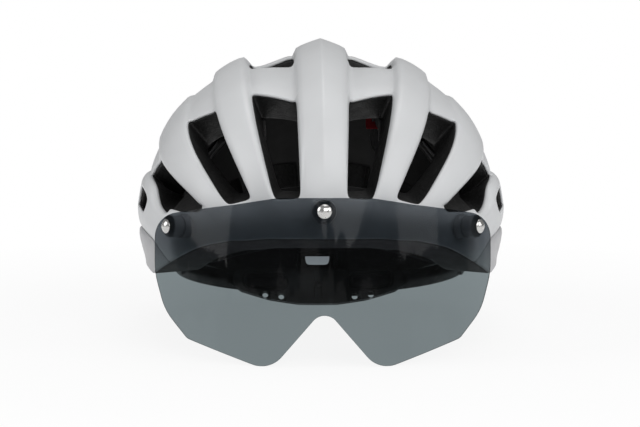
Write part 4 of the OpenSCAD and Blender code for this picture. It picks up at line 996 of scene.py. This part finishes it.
def end_plate(name, centre, outward):
    """The slotted plate at a strap's end: the webbing comes out of its slot."""
    at, t, n, x = strap_frame(centre, outward, 0.0)
    bm = cut_solid([rounded(ANCHOR_EDGE, 15), rounded(ANCHOR_SLOT, 30)], 6,
                   lambda u, v: at + x * u + t * v, lambda u, v: at + x * u + t * v - n * ANCHOR_T)[0]
    rims = [e for e in bm.edges if e.calc_face_angle(0.0) > ANCHOR_FOLD]
    bmesh.ops.bevel(bm, geom=rims, offset=ANCHOR_BEVEL, offset_type="OFFSET", segments=2, profile=0.5,
                    affect="EDGES", clamp_overlap=True)
    settled(new_object(name, finished(bm, name, 35), plastic_look.made), "helmet", "black_plastic",
            "strap_anchors")


for tag, route, end in (("front_strap", FRONT_ROUTE, -1), ("rear_strap", REAR_ROUTE, 1)):
    points = [inside(o, p, STRAP_LIFT) for o, p in route]
    points += [chin_point(DIVIDER_AT, end * (DIVIDER_W / 2 + mm)) for mm in (RUN_IN, STRAP_STOP)]
    total = sum((along(points, (k + 1) / LENGTH_STEPS) - along(points, k / LENGTH_STEPS)).length
                for k in range(LENGTH_STEPS))
    for word, side in SIDES:
        def centre(x, points=points, side=side):
            return mirror_x(along(points, x), side)

        def outward(x, p, side=side):
            """From square to the wall to square to the divider."""
            w = smooth(*TURN, x)
            return mirror_x(wall_normal(mirror_x(p, side)) * (1 - w) + w * DIVIDER_OUT, side)

        name = tag + "_" + word
        end_plate(name + "_plate", centre, outward)
        web(name + "_web", centre, outward, STRAP_STEPS, "helmet", name)
        seam_dots(name + "_stitches", centre, outward, "helmet", box_stitch(STRAP_BOX, total))


def off_arc(x, p):
    return (p - Vector((0, p.y, CHIN_Z))).normalized()


for word, side, start, body in (
        ("left", -1, chin_deg(SOCKET_END) + chin_deg(FIT_GAP), "helmet"),
        ("right", 1, chin_deg(PLUG_FROM) + chin_deg(PLUG_GRIP) + chin_deg(FIT_GAP), "buckle_half")):
    def centre(x, side=side, start=start):
        return mirror_x(chin_point(lerp(start, TAIL_END, x)), side)

    name = "chin_strap_" + word
    total = math.radians(TAIL_END - start) * CHIN_R
    web(name + "_web", centre, off_arc, CHIN_STEPS, body, name)
    seam_dots(name + "_stitches", centre, off_arc, body, box_stitch(CHIN_BOX, total))

# The red tab, on the liner's inside. Its path is the ribbon's middle, along and off the wall.
TAB_OUT, TAB_PITCH, TAB_LIFT, TAB_HALF, TAB_CREASE = 13.5, 117, 3.4, 3.9, 0.6
RIBBON_HALF_T, RIPPLE, RIPPLE_TURN, COLUMNS = 0.11, 0.025, 1.3, 9
TAB_PATH = [(-4.4, 0.12), (-2, 0.16), (1, 0.14), (3.2, 0.06), (4.2, 0.12), (4.5, 0.45), (4.2, 0.78),
            (3.2, 0.86), (1, 0.74), (-2, 0.72), (-4.4, 0.76)]


def tab_ribbon():
    """A folded loop of ribbon: two layers that part a little at the fold."""
    x, y, z = Vector((1, 0, 0)), Vector((0, 0.35, 0.94)).normalized(), Vector((0, 0.94, -0.35)).normalized()
    base = inside(TAB_OUT, TAB_PITCH, TAB_LIFT)
    outer, inner = [], []
    for k, (v, w) in enumerate(TAB_PATH):
        a = Vector(TAB_PATH[max(0, k - 1)])
        b = Vector(TAB_PATH[min(len(TAB_PATH) - 1, k + 1)])
        d = (b - a).normalized()
        for i in range(COLUMNS):
            u = lerp(-TAB_HALF, TAB_HALF, i / (COLUMNS - 1))
            bow = RIPPLE * math.sin(i * RIPPLE_TURN)
            for sheet, half in ((outer, RIBBON_HALF_T), (inner, -RIBBON_HALF_T)):
                sheet.append(base + x * u + y * (v - d.y * half) + z * (w + bow + d.x * half))
    return sheet_solid("pad_tab_ribbon", outer, inner, lambda i, j: True, COLUMNS, len(TAB_PATH),
                       TAB_CREASE, tab_look.made)


settled(tab_ribbon(), "helmet", "tab_fabric", "pad_tab")

# The CAD's own nodes that stay in view, welded and finished, most of them with a small arris
WELD, ARRIS = 0.00001, 0.00022    # metres
ARRIS_FROM, SHARP_FROM = 38, 32   # degrees between faces
NO_ARRIS = ("left_arm", "right_arm", "dial_pinion", "click_spring", "hook_dots")
SLOTS = {part["node"]: part["material_slot"] for part in frame["record"]["subparts"]}
PALE = [f"{part}_{at}" for part in ("visor_seat", "magnet_holder") for at in ("middle", "left", "right")]
for name, obj in nodes.items():
    if obj.hide_render:
        continue
    look = holder_look if name in PALE else LOOKS[SLOTS[name]]
    obj.data.materials.clear()
    obj.data.materials.append(look.made)
    obj.modifiers.new("weld", "WELD").merge_threshold = WELD
    if name not in NO_ARRIS:
        edge = obj.modifiers.new("edge", "BEVEL")
        edge.width = ARRIS
        edge.segments = 2
        edge.limit_method = "ANGLE"
        edge.angle_limit = math.radians(ARRIS_FROM)
    shaded(obj.data, SHARP_FROM)

# Floor, backdrop, light and camera
scene = bpy.context.scene
scene.view_settings.view_transform = "Standard"


def bare_tree(look):
    look.use_nodes = True
    look.node_tree.nodes.clear()
    return look.node_tree


# the floor is partly, and farther off wholly, plain white to the eye, and paint to other light
floor_mesh = bpy.data.meshes.new("floor")
floor_mesh.from_pydata([(x * FLOOR_HALF, y * FLOOR_HALF, 0) for x, y in ((-1, -1), (1, -1), (1, 1), (-1, 1))],
                       [], [(0, 1, 2, 3)])
floor_look = bpy.data.materials.new("floor")
tree = bare_tree(floor_look)
rays = added(tree, "ShaderNodeLightPath").outputs
either = added(tree, "ShaderNodeMath", rays["Is Camera Ray"], rays["Is Glossy Ray"], operation="MAXIMUM")
any_ray = added(tree, "ShaderNodeMath", either.outputs[0], rays["Is Transmission Ray"], operation="MAXIMUM")
where = added(tree, "ShaderNodeTexCoord")
far = added(tree, "ShaderNodeVectorMath", where.outputs["Object"], operation="LENGTH")
fade = added(tree, "ShaderNodeMapRange", far.outputs["Value"], FADE_FROM, FADE_TO, FLOOR_WHITE, 1.0)
share = added(tree, "ShaderNodeMath", any_ray.outputs[0], fade.outputs[0], operation="MULTIPLY")
paint = added(tree, "ShaderNodeBsdfDiffuse", FLOOR_TONE)
white = added(tree, "ShaderNodeEmission", (1, 1, 1, 1), 1.0)
mixed = added(tree, "ShaderNodeMixShader", share.outputs[0], paint.outputs[0], white.outputs[0])
added(tree, "ShaderNodeOutputMaterial", mixed.outputs[0])
new_object("floor", floor_mesh, floor_look)

# the world is white to the eye and dim as a light
world_look = bpy.data.worlds.new("studio")
scene.world = world_look
tree = bare_tree(world_look)
rays = added(tree, "ShaderNodeLightPath").outputs
ray = added(tree, "ShaderNodeMath", rays["Is Camera Ray"], rays["Is Transmission Ray"], operation="MAXIMUM")
ambient = added(tree, "ShaderNodeBackground", (1, 1, 1, 1), AMBIENT)
seen = added(tree, "ShaderNodeBackground", (1, 1, 1, 1), 1.0)
mixed = added(tree, "ShaderNodeMixShader", ray.outputs[0], ambient.outputs[0], seen.outputs[0])
added(tree, "ShaderNodeOutputWorld", mixed.outputs[0])

for name, at, size, watts in LAMPS:
    light = bpy.data.lights.new(name, "AREA")
    light.shape = "RECTANGLE"
    light.size, light.size_y = size
    light.energy = watts
    lamp = bpy.data.objects.new(name, light)
    scene.collection.objects.link(lamp)
    lamp.location = at
    lamp.rotation_euler = (Vector(LAMP_AIM) - Vector(at)).to_track_quat("-Z", "Y").to_euler()

eye = bpy.data.cameras.new("camera")
eye.sensor_width, eye.lens, eye.shift_y = SENSOR_MM, LENS_MM, SHIFT_Y
eye.clip_start, eye.clip_end = CLIP
camera = bpy.data.objects.new("camera", eye)
scene.collection.objects.link(camera)
right = turned(Vector((math.cos(EYE_TURN), -math.sin(EYE_TURN), 0)))
look_along = turned(Vector((math.sin(EYE_TURN), math.cos(EYE_TURN), 0)))
camera.matrix_world = Matrix((right, right.cross(look_along), -look_along)).transposed().to_4x4()
camera.location = world(EYE_AT)
scene.camera = camera
